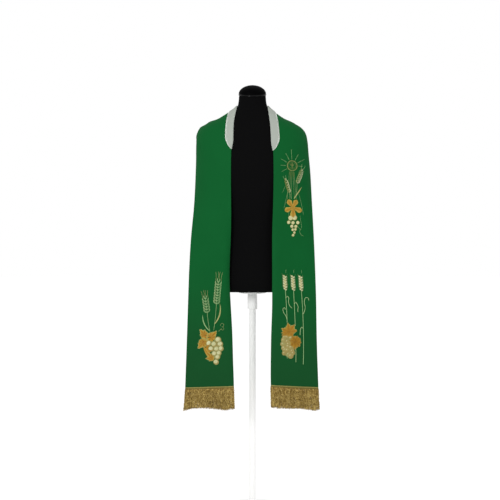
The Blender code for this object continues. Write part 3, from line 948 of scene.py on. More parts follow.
def loft(rings, first=None, last=None):
    """Quads between closed rings, then a fan to a middle point at each end that has one.

    It also returns the row and the column of each corner of the quads.
    """
    count, sides = rings.shape[:2]
    quads, rows, columns = grid_cells(count, sides, around=True)
    points, fans = rings.reshape(-1, 3), []
    here = np.arange(sides)
    after = (here + 1) % sides
    for start, middle, a, b in ((0, first, after, here), ((count - 1) * sides, last, here, after)):
        if middle is not None:
            fans += np.stack([start + a, start + b, np.full(sides, len(points))], axis=-1).tolist()
            points = np.concatenate([points, [middle]])
    return points, quads.tolist() + fans, rows, columns


def make_torso():
    heights = np.concatenate([
        np.linspace(FORM_BOTTOM, COVER_HEM - 0.0012, 16),
        COVER_HEM + np.array([-0.0006, 0.0, 0.0006, 0.0012]),
        np.linspace(COVER_HEM + 0.006, 1.40, 84),
        np.linspace(1.4045, NECK_TOP, 44),
    ])
    angle = np.linspace(0, 2 * math.pi, 160, endpoint=False)
    half, front, behind, square = (column[:, None] for column in form_section(heights))
    cos, sin = np.cos(angle), np.sin(angle)
    depth = np.where(sin < 0, front, behind)
    double = HEM_STEP * (1 - ease((heights - COVER_HEM + 0.0008) / 0.0016))[:, None]
    x = (half + double) * np.sign(cos) * np.abs(cos) ** (2 / square)
    y = (depth + double) * np.sign(sin) * np.abs(sin) ** (2 / square)
    lean = ease((heights - SLANT_FROM) / (NECK_TOP - SLANT_FROM))[:, None]
    rings = np.stack([x, y, heights[:, None] + y * math.tan(NECK_SLANT) * lean], axis=-1)
    under = [rings[:1] * np.array([share, share, 1.0]) for share in (0.5, 0.985)]
    rings = np.concatenate([*under, rings])
    rings[2, :, 2] += UNDERSIDE_ROUND
    points, faces, rows, columns = loft(rings, (0.0, 0.0, FORM_BOTTOM), rings[-1].mean(0))
    girth = walk(np.concatenate([rings[GIRTH_RING], rings[GIRTH_RING, :1]]))
    tall = np.concatenate([[FORM_BOTTOM - 0.02, FORM_BOTTOM - 0.01], heights])
    uv = np.stack([girth[columns], tall[rows]], axis=-1).reshape(-1, 2)
    uv = np.concatenate([uv, np.zeros((3 * (len(faces) - len(rows)), 2))])
    piece = make_piece("form_jersey_cover", points, faces, black_jersey, uv, stands_for="form_torso")
    piece.data.set_sharp_from_angle(angle=math.radians(50))


make_torso()

# %% [markdown]
# The cap is turned: a profile from the middle of its dome, over a rounded bead at the rim, to the
# flat underside, carried round its own axis. It sits square on the slanted neck, so the finished
# points are tilted by the slant before they are put in place.

# %% the neck cap
CAP_RADIUS = 0.0514
CAP_RIM = 0.004
CAP_DOME = 0.033
CAP_BEAD = 0.0021
CAP_BEAD_OUT = 0.0009


def turn_profile(profile, sides=96):
    """Closed rings from a profile of (radius, height), carried round Z from the top down."""
    angle = np.linspace(0, 2 * math.pi, sides, endpoint=False)
    radius, height = np.array(profile).T[..., None]
    return np.stack([radius * np.cos(angle), radius * np.sin(angle), height + 0 * angle], axis=-1)


def make_cap():
    swing = np.linspace(math.radians(87), math.radians(5), 26)
    dome = [(CAP_RADIUS * math.cos(a), CAP_RIM + CAP_DOME * math.sin(a)) for a in swing]
    middle = CAP_RADIUS + CAP_BEAD_OUT - CAP_BEAD
    corner = np.linspace(math.radians(75), -math.pi / 2, 12)
    bead = [(middle + CAP_BEAD * math.cos(a), CAP_BEAD * (1 + math.sin(a))) for a in corner]
    rings = turn_profile(dome + bead + [(middle * 0.5, 0.0)])
    points, faces, _, _ = loft(rings, (0, 0, CAP_RIM + CAP_DOME), (0, 0, 0))
    cos, sin = math.cos(NECK_SLANT), math.sin(NECK_SLANT)
    y, z = points[:, 1].copy(), points[:, 2].copy()
    points[:, 1] = y * cos - z * sin
    points[:, 2] = y * sin + z * cos + NECK_TOP + SEAM_GAP / cos
    tone = np.append(np.repeat(np.arange(len(rings)) < len(dome), rings.shape[1]), (1.0, 0.0))
    faces = [face[::-1] for face in faces]
    piece = make_piece("neck_cap", points, faces, black_gloss, tone=tone, stands_for="form_neck_cap")
    piece.data.set_sharp_from_angle(angle=math.radians(50))


make_cap()

# %% [markdown]
# The stand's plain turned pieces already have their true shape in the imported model, so they stay
# as they are and only take the powder coat.

# %% the stand
for node in ("stand_base", "stand_hub", "stand_pole", "stand_socket"):
    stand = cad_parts[node]
    stand.data.materials.clear()
    stand.data.materials.append(white_powder_coat.material)
    print(node, "takes", white_powder_coat.name)


# %% [markdown]
# The collar strip runs from one front end round the back of the neck to the other. Its path is
# the neck edge itself, and its section is an outline at each place along it: flat on the cloth,
# round the edge and a little way under. A function gives the point at any distance along the
# neck edge, distance in from it and height off the cloth, so the strip, its stitches and its
# lace all follow one path.

# %% the neck edge
COLLAR_THICK = 0.0010
COLLAR_ON_CLOTH = (0.0245, 0.0290)
COLLAR_OVERHANG = 0.0060
COLLAR_UNDER = 0.0080
COLLAR_GAP = 0.00035
COLLAR_TIP_Z = {"right": 1.346, "left": 1.340}
COLLAR_TIP_ROUND = 0.052
COLLAR_TIP_WIDTH = 0.0012
# how far from a tip the strip starts to widen, over what length, and where its fold stands full
COLLAR_WIDENS = (0.09, 0.12)
COLLAR_FULL_FOLD = 0.035
UPPER = CLOTH_THICK / 2 + TURNED_IN_THICKER + COLLAR_GAP + COLLAR_THICK / 2


class NeckEdge:
    """The neck edge from the left half's collar end, round the back, to the right half's."""

    def __init__(self):
        self.rows, self.walks, self.lengths = {}, {}, {}
        for side, half in halves.items():
            edge = half.middle[:, 0]
            start = np.interp(COLLAR_TIP_Z[side], edge[: half.top_row, 2], np.arange(half.top_row))
            rows = np.concatenate([[start], np.arange(math.ceil(start), len(half.up))])
            places = read(half.middle, rows, np.zeros_like(rows))
            self.rows[side], self.walks[side] = rows, walk(places)
            self.lengths[side] = self.walks[side][-1]
        self.length = sum(self.lengths.values())

    def row(self, side, s):
        """The half's row at a distance from the left end."""
        s = s if side == "left" else self.length - s
        return np.interp(s, self.walks[side], self.rows[side])

    def from_tip(self, s):
        """The distance to the nearer front end."""
        return np.minimum(s, self.length - s)

    def width(self, s):
        """How far the strip reaches over the cloth: it narrows in a curve to each end."""
        rounding = 1 - np.clip(self.from_tip(s) / COLLAR_TIP_ROUND, 0, 1)
        front, behind = COLLAR_ON_CLOTH
        start, over = COLLAR_WIDENS
        full = front + (behind - front) * ease((self.from_tip(s) - start) / over)
        return COLLAR_TIP_WIDTH + (full - COLLAR_TIP_WIDTH) * np.cos(rounding * math.pi / 2) ** 0.85

    def overhang(self, s):
        """How far the fold stands past the neck edge: at the two ends only as far as it must."""
        return UPPER + (COLLAR_OVERHANG - UPPER) * ease(self.from_tip(s) / COLLAR_FULL_FOLD)

    def points(self, s, inwards, lift):
        """Points at a distance along, a distance in from the edge, and a height off the face."""
        s, inwards, lift = np.broadcast_arrays(s, inwards, lift)
        found = []
        for side, half in halves.items():
            row = self.row(side, s)
            column = half.column_at(row, np.maximum(inwards, 0))
            point = read(half.middle, row, column)
            face = unit(read(half.face, row, column))
            edge, beside = (read(half.middle, row, np.full_like(row, at)) for at in (0.0, 8.0))
            past = unit(edge - beside) * np.maximum(-inwards, 0)[..., None]
            found.append(point + face * lift[..., None] + past)
        right, left = found
        return np.where((s < self.lengths["left"])[..., None], left, right)

    def points_and_up(self, s, inwards, lift):
        """Points as above, and the way off the cloth there."""
        here = self.points(s, inwards, lift)
        return here, unit(self.points(s, inwards, lift + 0.004) - here)


neck = NeckEdge()
print(f"neck edge under the strip: {neck.length:.3f} m")

# %% the collar strip
COLLAR_RIPPLE = 0.00022
COLLAR_RIPPLE_LONG = 0.0135


def strip_section(width, overhang):
    """The strip's outline from its edge on the cloth, over the fold and under, for each width.

    It is a straight run at the upper lift, half a circle past the neck edge and a straight run
    at the lower lift. Returns distances in from the edge and heights, one row for each width.
    """
    share = 1 - np.concatenate([[0, 0.005, 0.02, 0.05], np.linspace(0.1, 1.0, 16)])
    turn = np.linspace(math.pi / 2, -math.pi / 2, 15)[1:-1]
    under = np.concatenate([np.linspace(0, 0.9, 7), [0.95, 0.985, 1.0]])
    reach = (overhang - UPPER)[:, None]
    top_in = width[:, None] * share - reach * (1 - share)
    round_in = -reach - UPPER * np.cos(turn)
    under_in = -reach + under * (COLLAR_UNDER + reach)
    inwards = np.concatenate([top_in, round_in, under_in], axis=1)
    lift = np.concatenate([np.full(20, UPPER), UPPER * np.sin(turn), np.full(10, -UPPER)])
    return inwards, np.broadcast_to(lift, inwards.shape)


def make_collar():
    ends = np.array([0.0, 0.0002, 0.0006, 0.0015, 0.003])
    inside = np.arange(0.005, neck.length - 0.0045, 0.0025)
    s = np.concatenate([ends, inside, neck.length - ends[::-1]])
    inwards, lift = strip_section(neck.width(s), neck.overhang(s))
    s = s[:, None]
    from_tip = neck.from_tip(s)
    bend = np.clip((from_tip - 0.05) / 0.1, 0, 1) * ease(from_tip / 0.03)
    ripple = np.sin(s * (2 * math.pi / COLLAR_RIPPLE_LONG) + 1.3 * np.sin(s * 23.0)) * bend
    lift = lift + np.where(lift > 0, COLLAR_RIPPLE * ripple * np.clip(inwards / 0.012, 0, 1), 0)
    middle = neck.points(s, inwards, lift)
    middle[:, :, 0] = np.where(np.abs(s - neck.lengths["left"]) < 0.0013, 0.0, middle[:, :, 0])
    face = grid_face(middle)
    row = middle.shape[0] // 4
    face = face * np.sign(face[row, 6] @ (middle[row, 6] - middle[row, -4]))
    section = walk(middle[row])
    from_edge = np.minimum(np.minimum(section, section[-1] - section), from_tip)
    half = half_thickness(from_edge, COLLAR_THICK, COLLAR_THICK / 2)
    points, faces = cloth_shell(middle, face, half)
    uv, faces = shell_uv(section, s, faces), faces.tolist()
    piece = make_piece("collar_cotton", points, faces, white_cotton, uv, stands_for="collar_strip")
    return piece, float(section[-1])


collar, collar_cut_wide = make_collar()
print(f"strip is cut {collar_cut_wide * 1000:.0f} mm wide")

# %% [markdown]
# Many things here are threads: stitches, cords, lace and fringe. All come from two builders. The
# first makes short stitches: thin bodies that rise out of the cloth at one end and go back in at
# the other. The second carries a small section along any number of paths at once, twisted or
# not. Both close their bodies with a fan to a tip at each end.

# %% stitches
CORD_END = 0.35


def thread_bodies(rings, tips):
    """Closed thin bodies: a row of rings of points for each, and the tips before and after them."""
    count, steps, sides = rings.shape[:3]
    points = np.concatenate([rings.reshape(count, -1, 3), tips], axis=1)
    cells, rows, columns = grid_cells(steps, sides, around=True)
    here = np.arange(sides)
    after = (here + 1) % sides
    tip, last = np.full(sides, steps * sides), (steps - 1) * sides
    caps = np.concatenate([
        np.stack([tip, after, here], axis=-1),
        np.stack([tip + 1, last + here, last + after], axis=-1),
    ])
    offset = (np.arange(count) * points.shape[1])[:, None, None]
    quads, caps = ((faces + offset).reshape(-1, faces.shape[1]) for faces in (cells, caps))
    return points.reshape(-1, 3), quads, caps, rows.ravel(), columns.ravel()


def stitch_part(centres, up, half_wide, half_high, tone):
    """Bodies through short rows of points, which are pointed at both ends.

    centres and up have a row for each stitch and a column for each point on it. The inner
    points get a four-sided ring: the half width to each side and the half height up and down.
    """
    way = unit(centres[:, -1] - centres[:, 0])
    wide, high = unit(np.cross(up, way[:, None])) * half_wide, up * half_high
    rings = centres[:, :, None] + np.stack([wide, high, -wide, -high], axis=2)
    points, quads, caps, _, _ = thread_bodies(rings[:, 1:-1], centres[:, [0, -1]])
    uv = np.tile([[0.0, 0.0], [0.25, 0.0], [0.25, 0.001], [0.0, 0.001]], (len(quads), 1))
    return points, quads, caps, uv, np.repeat(tone, len(points) // len(centres))


def cord_part(paths, up, radius, twist, tone, sides=4, lobes=0.0):
    """Cords along one path, or along many of the same number of points, which close to a tip.

    The section is a ring of points that turns with the twist, in turns a metre. With lobes, its
    points stay and its radius swells by their share, twice in each turn. tone is one number for
    all, for each cord, or for each step of each.
    """
    paths, up = (np.reshape(p, (-1, *np.shape(p)[-2:])) for p in (paths, up))
    count, steps = paths.shape[:2]
    way = unit(np.gradient(paths, axis=1))
    aside = unit(np.cross(up, way))
    over = np.cross(way, aside)
    lengths = np.linalg.norm(np.diff(paths, axis=1), axis=-1).cumsum(1)
    gone = np.concatenate([np.zeros((count, 1)), lengths], axis=1)
    turn = np.arange(sides) * (2 * math.pi / sides)
    twisted = (gone * twist * 2 * math.pi)[..., None]
    size = radius * (1 + lobes * np.cos(2 * (turn - twisted)))
    size[:, [0, -1]] *= CORD_END
    if lobes == 0:
        turn = turn + twisted
    rings = paths[:, :, None] + aside[:, :, None] * (np.cos(turn) * size)[..., None]
    rings = rings + over[:, :, None] * (np.sin(turn) * size)[..., None]
    points, quads, caps, rows, columns = thread_bodies(rings, paths[:, [0, -1]])
    along = gone[:, rows]
    uv = np.stack([np.broadcast_to(columns / sides, along.shape), along], axis=-1).reshape(-1, 2)
    tone = np.broadcast_to(np.reshape(tone, (-1, np.size(tone) // count or 1)), (count, steps))
    tone = np.concatenate([np.repeat(tone, sides, axis=1), tone[:, [0, -1]]], axis=1)
    return points, quads, caps, uv, tone.ravel()


def join_threads(name, parts, finish, stands_for=None):
    """One piece from several (points, quads, triangles, uv of the quads, tone) parts."""
    points, quads, triangles, uv, tone = zip(*parts)
    start = np.cumsum([0] + [len(part) for part in points])
    quads, triangles = (
        np.concatenate([faces + first for faces, first in zip(kind, start)])
        for kind in (quads, triangles)
    )
    uv = np.concatenate([*uv, np.zeros((triangles.size, 2))])
    faces = quads.tolist() + triangles.tolist()
    return make_piece(name, np.concatenate(points), faces, finish, uv, np.concatenate(tone), stands_for)


# %% [markdown]
# Stitches and lace on the collar. A row of short white stitches holds the strip down, a
# millimetre and a half inside its edge. The lace is drawn with real threads: a straight one
# along the strip, two that cross each other in lozenges, a rail past them, and one in scallops
# along the outside. A fine cord in the lace's lighter white runs along the fold; its light line
# stands in for the fold's highlight, a painted highlight.

# %% collar stitches and lace
LACE_REPEAT = 0.0048
LACE_LIFT = CLOTH_THICK / 2 + 0.0007
STITCH_LONG = 0.0024
STITCH_APART = 0.0031
STITCH_INSIDE = 0.0016
EDGE_CORD = 0.0008
EDGE_CORD_TWIST = 160.0


def make_collar_stitches():
    start = np.arange(0.012, neck.length - 0.014, STITCH_APART)
    s = start[:, None] + np.array([0.0, 0.12, 0.5, 0.88, 1.0]) * STITCH_LONG
    rise = COLLAR_THICK / 2 + np.array([-0.0003, 0.00008, 0.00012, 0.00008, -0.0003])
    centres, up = neck.points_and_up(s, neck.width(s) - STITCH_INSIDE, UPPER + rise)
    tone = 0.6 + 0.3 * random.random(len(start))
    part = stitch_part(centres, up, 0.00022, 0.00018, tone)
    return join_threads("collar_stitches", [part], white_lace)


def make_lace():
    s = np.arange(0.0006, neck.length - 0.0006, 0.00030)
    phase = s * (2 * math.pi / LACE_REPEAT)
    full = ease(neck.from_tip(s) / 0.014)
    # distance out from the strip's edge, height over the lace and radius: the footing, the two
    # threads that cross in lozenges, the rail and the scallops
    threads = (
        (0.0002, 0.0001, 0.00030),
        (full * (0.0013 + 0.0009 * np.sin(phase)), 0.00012 * np.cos(phase), 0.00022),
        (full * (0.0013 - 0.0009 * np.sin(phase)), -0.00012 * np.cos(phase), 0.00022),
        (full * 0.0024, 0.0, 0.00026),
        (full * (0.0025 + 0.0013 * np.abs(np.sin(phase / 2))), 0.0001, 0.00034),
    )
    parts = []
    for outwards, height, radius in threads:
        path, up = neck.points_and_up(s, neck.width(s) + outwards, LACE_LIFT + height)
        parts.append(cord_part(path, up, radius, 0.0, 0.8))
    return join_threads("collar_lace_threads", parts, white_lace, "collar_lace")


def make_edge_cord():
    # the cord's lighter white stands in for the highlight on the fold: a painted highlight
    s = np.arange(0.004, neck.length - 0.004, 0.0012)
    path, up = neck.points_and_up(s, 0.0002 - neck.overhang(s), 0.0)
    part = cord_part(path, up, EDGE_CORD, EDGE_CORD_TWIST, 0.9, sides=8, lobes=0.12)
    return join_threads("collar_edge_cord", [part], white_lace)


collar_stitches = make_collar_stitches()
lace = make_lace()
edge_cord = make_edge_cord()

# %% [markdown]
# The fringe is sewn on by its heading, three gold cords side by side on the face of the hem.
# From under it hang some hundreds of twisted strands in three layers. Each strand is the same few
# faces: a square section that turns as it goes down, which reads as twist. Strands are alike but
# never the same: each has its own length, tone and slow curl, and neighbours drift together.

# %% fringe
STRANDS_APART = 0.00120
STRAND_RADIUS = 0.00108
STRAND_STEPS = 21
STRAND_TWIST = 38.0
HEADING_TWIST = 190.0
# how far off the cloth's face each layer of strands hangs
LAYERS = (0.0013, -0.0004, -0.0020)
# each heading cord's height over the hem, its radius and its tone
HEADING_CORDS = ((0.0012, 0.00115, 0.10), (0.0035, 0.00115, 0.22), (0.0058, 0.00120, 0.50))
# share of the way from the neck edge to the outer edge, and how much longer the strands are there
FRINGE_ENDS = {
    "right": ((0.0, 0.0), (0.2, 0.0034), (0.45, -0.0022), (0.8, -0.0058), (0.93, 0.0), (1.0, 0.0040)),
    "left": ((0.0, 0.0), (0.35, 0.0008), (0.6, -0.0012), (0.9, 0.0036), (1.0, -0.0010)),
}
# how far the outer corner's strands spread
CORNER_SPREAD = {"right": 0.0060, "left": 0.0020}


def soft_random(places, spacing):
    """Random numbers from -1 to 1 at knots this far apart, eased between them."""
    knots = random.uniform(-1, 1, int(np.max(places) / spacing) + 3)
    at = places / spacing
    i = at.astype(int)
    return knots[i] + (knots[i + 1] - knots[i]) * ease(at - i)


def hem_frame(half, across, up, lift):
    """Points at distances across and up from the hem's corner, and the ways down, out and across."""
    row = np.full(across.shape, np.interp(up, half.up, np.arange(len(half.up))))
    column = half.column_at(row, across)
    point, out = half.on_face(row, column, lift)
    hem, above = (read(half.middle, np.full_like(row, at), column) for at in (0.0, 12.0))
    down = unit(hem - above)
    return point, down, out, unit(np.cross(down, out))


def make_heading(side):
    half = halves[side]
    across = np.arange(0.0009, half.wide[0] - 0.0008, 0.0009)
    parts = []
    for up, radius, tone in HEADING_CORDS:
        wave = 0.00025 * soft_random(across, 0.02)
        point, _, out, _ = hem_frame(half, across, up, radius * 0.75 + np.abs(wave))
        parts.append(cord_part(point, out, radius, HEADING_TWIST, tone, sides=8, lobes=0.16))
    return join_threads(f"fringe_{side}_braid", parts, gold_braid, f"fringe_{side}_heading")


def strand_layer(side, layer, depth):
    """One layer of strands: how long, how far drifted and how crimped each is, and its tones."""
    half = halves[side]
    wide = half.wide[0]
    across = np.arange(0.0009 + 0.0004 * layer, wide - 0.0007, STRANDS_APART)
    count = len(across)
    steps = (count, STRAND_STEPS)
    across = np.clip(across + random.uniform(-0.0004, 0.0004, count), 0.0007, wide - 0.0007)
    point, down, out, aside = hem_frame(half, across, 0.0016, 0.0005)
    share = np.linspace(0, 1, STRAND_STEPS)
    loose = ease(share * 5)
    length = FRINGE_DROP - HEADING_HIGH + 0.0010
    length = length + 0.0010 * soft_random(across, 0.030) + random.uniform(-0.0030, 0.0016, count)
    length = length + smooth_curve(across / wide, *np.array(FRINGE_ENDS[side]).T)
    length = length - 0.0045 * layer * random.uniform(0, 1, count)
    drift = 0.0022 * soft_random(across, 0.013) + random.normal(0, 0.0010, count)
    room = np.minimum(across, wide - across) / 0.006
    drift = (drift * np.clip(room, 0.25, 1))[:, None] * share**1.3
    odd = (np.arange(STRAND_STEPS) + random.integers(0, 2, count)[:, None]) % 2
    crimp = 0.00110 * random.uniform(0.35, 1.0, steps) * np.where(odd, 1, -1) * loose
    wave = random.normal(0, 0.0008, steps) * loose
    puff = 0.0012 * soft_random(across, 0.016)[:, None] * np.sin(math.pi * share)
    corner = np.clip(1 - (wide - across) / 0.012, 0, 1) ** 2 * CORNER_SPREAD[side]
    spread = (corner * SIDES[side] * np.sign(aside[:, 0]))[:, None] * share**2
    settle = depth - 0.0006 * (1 - ease(share * 8))
    moves = (
        (down, share * length[:, None]),
        (aside, drift + spread + crimp),
        (out, settle + wave + puff),
    )
    paths = point[:, None] + sum(way[:, None] * far[..., None] for way, far in moves)
    tone = 0.37 + 0.04 * soft_random(across, 0.008) + random.normal(0, 0.05, count)
    patches = random.normal(0, 0.20, steps)
    patches = patches + np.roll(patches, 1, axis=0) * 0.5
    # back layers and the tops of the strands just under the heading are made darker: painted shade
    tone = np.clip(tone[:, None] + patches - 0.10 * layer - 0.17 * (1 - loose), 0.03, 0.98)
    up = np.broadcast_to(out[:, None], paths.shape)
    return cord_part(paths, up, STRAND_RADIUS, STRAND_TWIST, tone)


def make_strands(side):
    parts = [strand_layer(side, layer, depth) for layer, depth in enumerate(LAYERS)]
    return join_threads(f"fringe_{side}_strands", parts, gold_fringe, f"fringe_{side}")


headings = {side: make_heading(side) for side in SIDES}
strands = {side: make_strands(side) for side in SIDES}

# %% [markdown]
# Embroidery is thousands of stitches laid side by side. A picture on a plane would be quick, but
# it would have no relief and no shine along the thread. Here each motif is drawn the way an
# embroiderer plans it, as satin columns: a spine, a width that changes along it, and stitches
# across it at a slant. The functions work in the plane seen from the front, in metres, and every
# stitch is then sewn to the cloth by looking up its place on the half's surface.

# %% satin stitches
THREAD_HALF_WIDE = 0.00027
THREAD_HALF_HIGH = 0.00018
THREADS_APART = 0.00044
CORD_STEP = 0.0010
COUCHED_TWIST = 230.0
# the places along a stitch where it has a point, and its height there for each metre of padding
SATIN_SHARES = np.array([0.0, 0.07, 0.36, 0.64, 0.93, 1.0])
SATIN_RISE = np.array([-0.3, 0.35, 1.0, 1.0, 0.35, -0.3])


def toward(angle, length):
    """A step of a length at an angle from the X axis, in degrees."""
    angle = np.radians(angle)
    return np.stack([np.cos(angle) * length, np.sin(angle) * length], axis=-1)


def spine_points(points, apart):
    """Evenly spaced places on a smooth curve through a few points, with its way and its share."""
    points = np.asarray(points, float)
    knots = walk(points)
    fine = np.linspace(0, knots[-1], 300)
    curve = np.stack([smooth_curve(fine, knots, points[:, i], drawn=True) for i in range(2)], axis=-1)
    gone = walk(curve)
    count = max(int(gone[-1] / apart), 3)
    at = np.linspace(0, 1, count)
    place = np.stack([np.interp(at * gone[-1], gone, curve[:, i]) for i in range(2)], axis=-1)
    return place, unit(np.gradient(place, axis=0)), at


def stitches(start, end, tone, pad):
    """A group of stitches of one tone: where they start and end, and how high they are padded."""
    tone, pad = (np.full(len(start), value) for value in (tone, pad))
    return {"from": start, "to": end, "tone": tone, "pad": pad}


def cord(points, tone, radius=0.00055):
    """A couched cord along a curve."""
    return {"line": points, "tone": tone, "radius": radius}


def cords(lines, tone, radius):
    """Couched cords of one tone and radius."""
    return [cord(points, tone, radius) for points in lines]


def satin(points, half_wide, tone, slant=0.3, pad=0.0007):
    """Stitches right across a spine. half_wide is a function of the share of its length gone."""
    place, way, share = spine_points(points, THREADS_APART)
    aside = np.stack([-way[:, 1], way[:, 0]], axis=-1)
    reach = half_wide(share)[:, None]
    lean = way * reach * slant
    return stitches(place + aside * reach - lean, place - aside * reach + lean, tone, pad)


def sew(half, rows, name, finish):
    """Sews stitches and cords to a half: a thin body for each stitch and a cord for each line."""
    groups = [row for row in rows if "from" in row]
    keys = ("from", "to", "tone", "pad")
    start, end, tone, pad = (np.concatenate([group[key] for group in groups]) for key in keys)
    tone = np.clip(tone + random.normal(0, 0.03, len(tone)), 0, 1)
    flat = between((start[:, None], end[:, None]), SATIN_SHARES[:, None])
    centres, up = half.on_face(*half.find(flat[..., 0], flat[..., 1]), pad[:, None] * SATIN_RISE)
    parts = [stitch_part(centres, up, THREAD_HALF_WIDE, THREAD_HALF_HIGH, tone)]
    for row in rows:
        if "line" in row:
            x, z = spine_points(row["line"], CORD_STEP)[0].T
            path, up = half.on_face(*half.find(x, z), row["radius"] * 0.8)
            parts.append(cord_part(path, up, row["radius"], COUCHED_TWIST, row["tone"], sides=5))
    piece = join_threads(name, parts, finish)
    print(f"  {len(start)} satin stitches, {len(parts) - 1} cords")
    return piece


# %% [markdown]
# The motifs. An open ear of wheat is pairs of outlined grains up a stem, with long wavy awns. A
# comb ear has the same grains, smaller, bright on one side of the stem and dim on the other. A
# full ear is pairs of solid grains on a darker ground. A vine leaf has an outline in polar form:
# round each lobe's angle the edge is a straight line that leaves the lobe's tip, and a row of
# teeth runs along it. Its stitches run from each vein to that edge, dark near the vein and
# lighter outside. A bunch of grapes is rows of round satin berries, with a tan bed of stitches
# under them. The sun is a ring with straight rays. They are the common signs of bread, wine and
# light, drawn here from their own proportions.


# %% wheat
def drop_shape(half_wide):
    """Narrow at both ends and widest past the middle, like a grain."""
    return lambda share: half_wide * np.sin(math.pi * share**0.8) ** 0.8 + 0.0002


def disc_shape(half_wide):
    """Half width along a round or oval shape: that of an ellipse."""
    return lambda t: half_wide * np.sqrt(1 - (2 * t - 1) ** 2)


def even_shape(half_wide):
    """The same half width from end to end."""
    return lambda t: np.full_like(t, half_wide)


def lean_of(base, top):
    """The way from base to top, its length and its angle in degrees."""
    base, top = np.array(base), np.array(top)
    way = top - base
    return base, unit(way), np.linalg.norm(way), math.degrees(math.atan2(way[1], way[0]))


def open_grain(foot, out, up, half_wide, tone, radius):
    """The outline of a grain that leaves the stem sideways and bends up along a quarter ellipse."""
    t = np.linspace(0, 1, 11)[:, None]
    spine = foot + out * np.sin(t * math.pi / 2) + up * (1 - np.cos(t * math.pi / 2))
    way = unit(np.gradient(spine, axis=0))
    side = np.stack([-way[:, 1], way[:, 0]], axis=-1) * half_wide * np.sin(math.pi * t**0.8)
    return cord(np.concatenate([spine + side, (spine - side)[-2::-1]]), tone, radius)


def wavy_awn(foot, angle, long, tone, bow):
    """A thin awn that sways to one side and back."""
    middle = foot + toward(angle, long * 0.5) + toward(angle + 90, long * bow)
    return cord([foot, middle, foot + toward(angle, long)], tone, 0.00042)


def open_ear(base, top, half_wide, pairs, tone, awn, radius=0.00068):
    """Outlined grains in pairs that leave holes by the stem, and awns that end at one height."""
    base, way, long, lean = lean_of(base, top)
    step = long / (pairs + 0.9)
    rows = [cord([base, base + way * step * pairs], tone, radius * 1.2)]
    for pair in range(pairs + 1):
        foot = base + way * step * pair
        for turn in (-1, 1):
            out = toward(lean + turn * 90, half_wide * (0.92 if pair < pairs else 0.40))
            shade = tone + 0.03 * turn + 0.04 * (pair % 2)
            rows.append(open_grain(foot, out, way * step * 1.20, half_wide * 0.13, shade, radius))
    foot = base + way * step * pairs
    for aside, low in ((-0.95, -0.25), (-0.25, 1.0), (0.30, 0.9), (0.95, -0.15)):
        start = foot + way * step * low + toward(lean - 90, half_wide * aside)
        end = base + way * (long + awn * (1 - 0.12 * abs(aside)))
        end = end + toward(lean - 90, half_wide * aside * 1.1)
        _, _, reach, angle = lean_of(start, end)
        rows.append(wavy_awn(start, angle, reach, tone - 0.14, 0.07 * np.sign(aside)))
    return rows


def comb_ear(base, top, half_wide, pairs, tones, awn, radius=0.00058):
    """Small open grains in pairs, bright on one side of the stem and dim on the other, and awns."""
    base, way, long, lean = lean_of(base, top)
    step = long / (pairs + 1.2)
    rows = [cord([base, base + way * step * pairs], min(tones), radius)]
    for pair in range(pairs + 1):
        foot = base + way * step * pair
        wide = half_wide * (0.80 + 0.20 * math.sin(math.pi * (pair + 1.0) / (pairs + 0.5)))
        for turn, tone in zip((-1, 1), tones):
            out = toward(lean + turn * 90, wide * (0.85 - 0.12 * turn if pair < pairs else 0.45))
            rows.append(open_grain(foot, out, way * step * 1.15, half_wide * 0.12, tone, radius))
    for turn in (-1, 1):
        start = base + way * (long - step * 0.2) + toward(lean + turn * 90, half_wide * 0.4)
        rows.append(wavy_awn(start, lean + turn * 9, awn, 0.60, 0.08 * turn))
    return rows


def full_ear(base, top, half_wide, rows_of_grain, tone):
    """Solid grains in pairs that lie close along a darker middle, with thin spikes at the sides."""
    base, way, long, lean = lean_of(base, top)
    step = long / (rows_of_grain + 1.1)
    ground = [base + way * step * 0.3, base + way * (long - step * 0.9)]
    made = [satin(ground, drop_shape(half_wide * 0.50), 0.42, 0.0, 0.0003)]
    for row in range(rows_of_grain):
        share = (row + 0.5) / rows_of_grain
        wide = half_wide * min(0.60 + 1.7 * share, 1.0) * (1 - 0.15 * share)
        for turn in (-1, 1):
            foot = base + way * step * (row + 0.25 + 0.25 * turn)
            shade = tone - 0.09 * ((row + (turn < 0)) % 2)
            grain = toward(lean + turn * 50, wide * 1.28)
            foot = foot + toward(lean + turn * 90, wide * 0.08)
            made.append(satin([foot, foot + grain], drop_shape(wide * 0.40), shade, pad=0.0010))
            tip = foot + grain * 0.8
            spike = [tip, tip + toward(lean + turn * 34, 0.0045), tip + toward(lean + turn * 22, 0.009)]
            made.append(cord(spike, 0.14, 0.00050))
    tip = base + way * (long - 0.001) + toward(lean - 90, half_wide * 0.60)
    made.append(wavy_awn(tip, lean - 8, 0.0120, 0.60, 0.03))
    return made


# %% leaves
def pointed_edge(angles, lengths, point):
    """The polar outline of a leaf: the farthest of the straight flanks of its lobes, with teeth.

    A flank leaves its lobe's tip at the point angle, so that its radius is the lobe's length
    times sin(point) / sin(point + the angle away from the lobe).
    """
    point = math.radians(point)

    def edge(angle):
        apart = np.abs((np.asarray(angle)[..., None] - angles + 180) % 360 - 180)
        reach = lengths * math.sin(point) / np.sin(np.minimum(point + np.radians(apart), math.pi / 2))
        teeth = np.abs((np.asarray(angle) / 17.0 % 1.0) * 2 - 1) - 0.5
        return reach.max(-1) * (1 + 0.12 * teeth)

    return edge


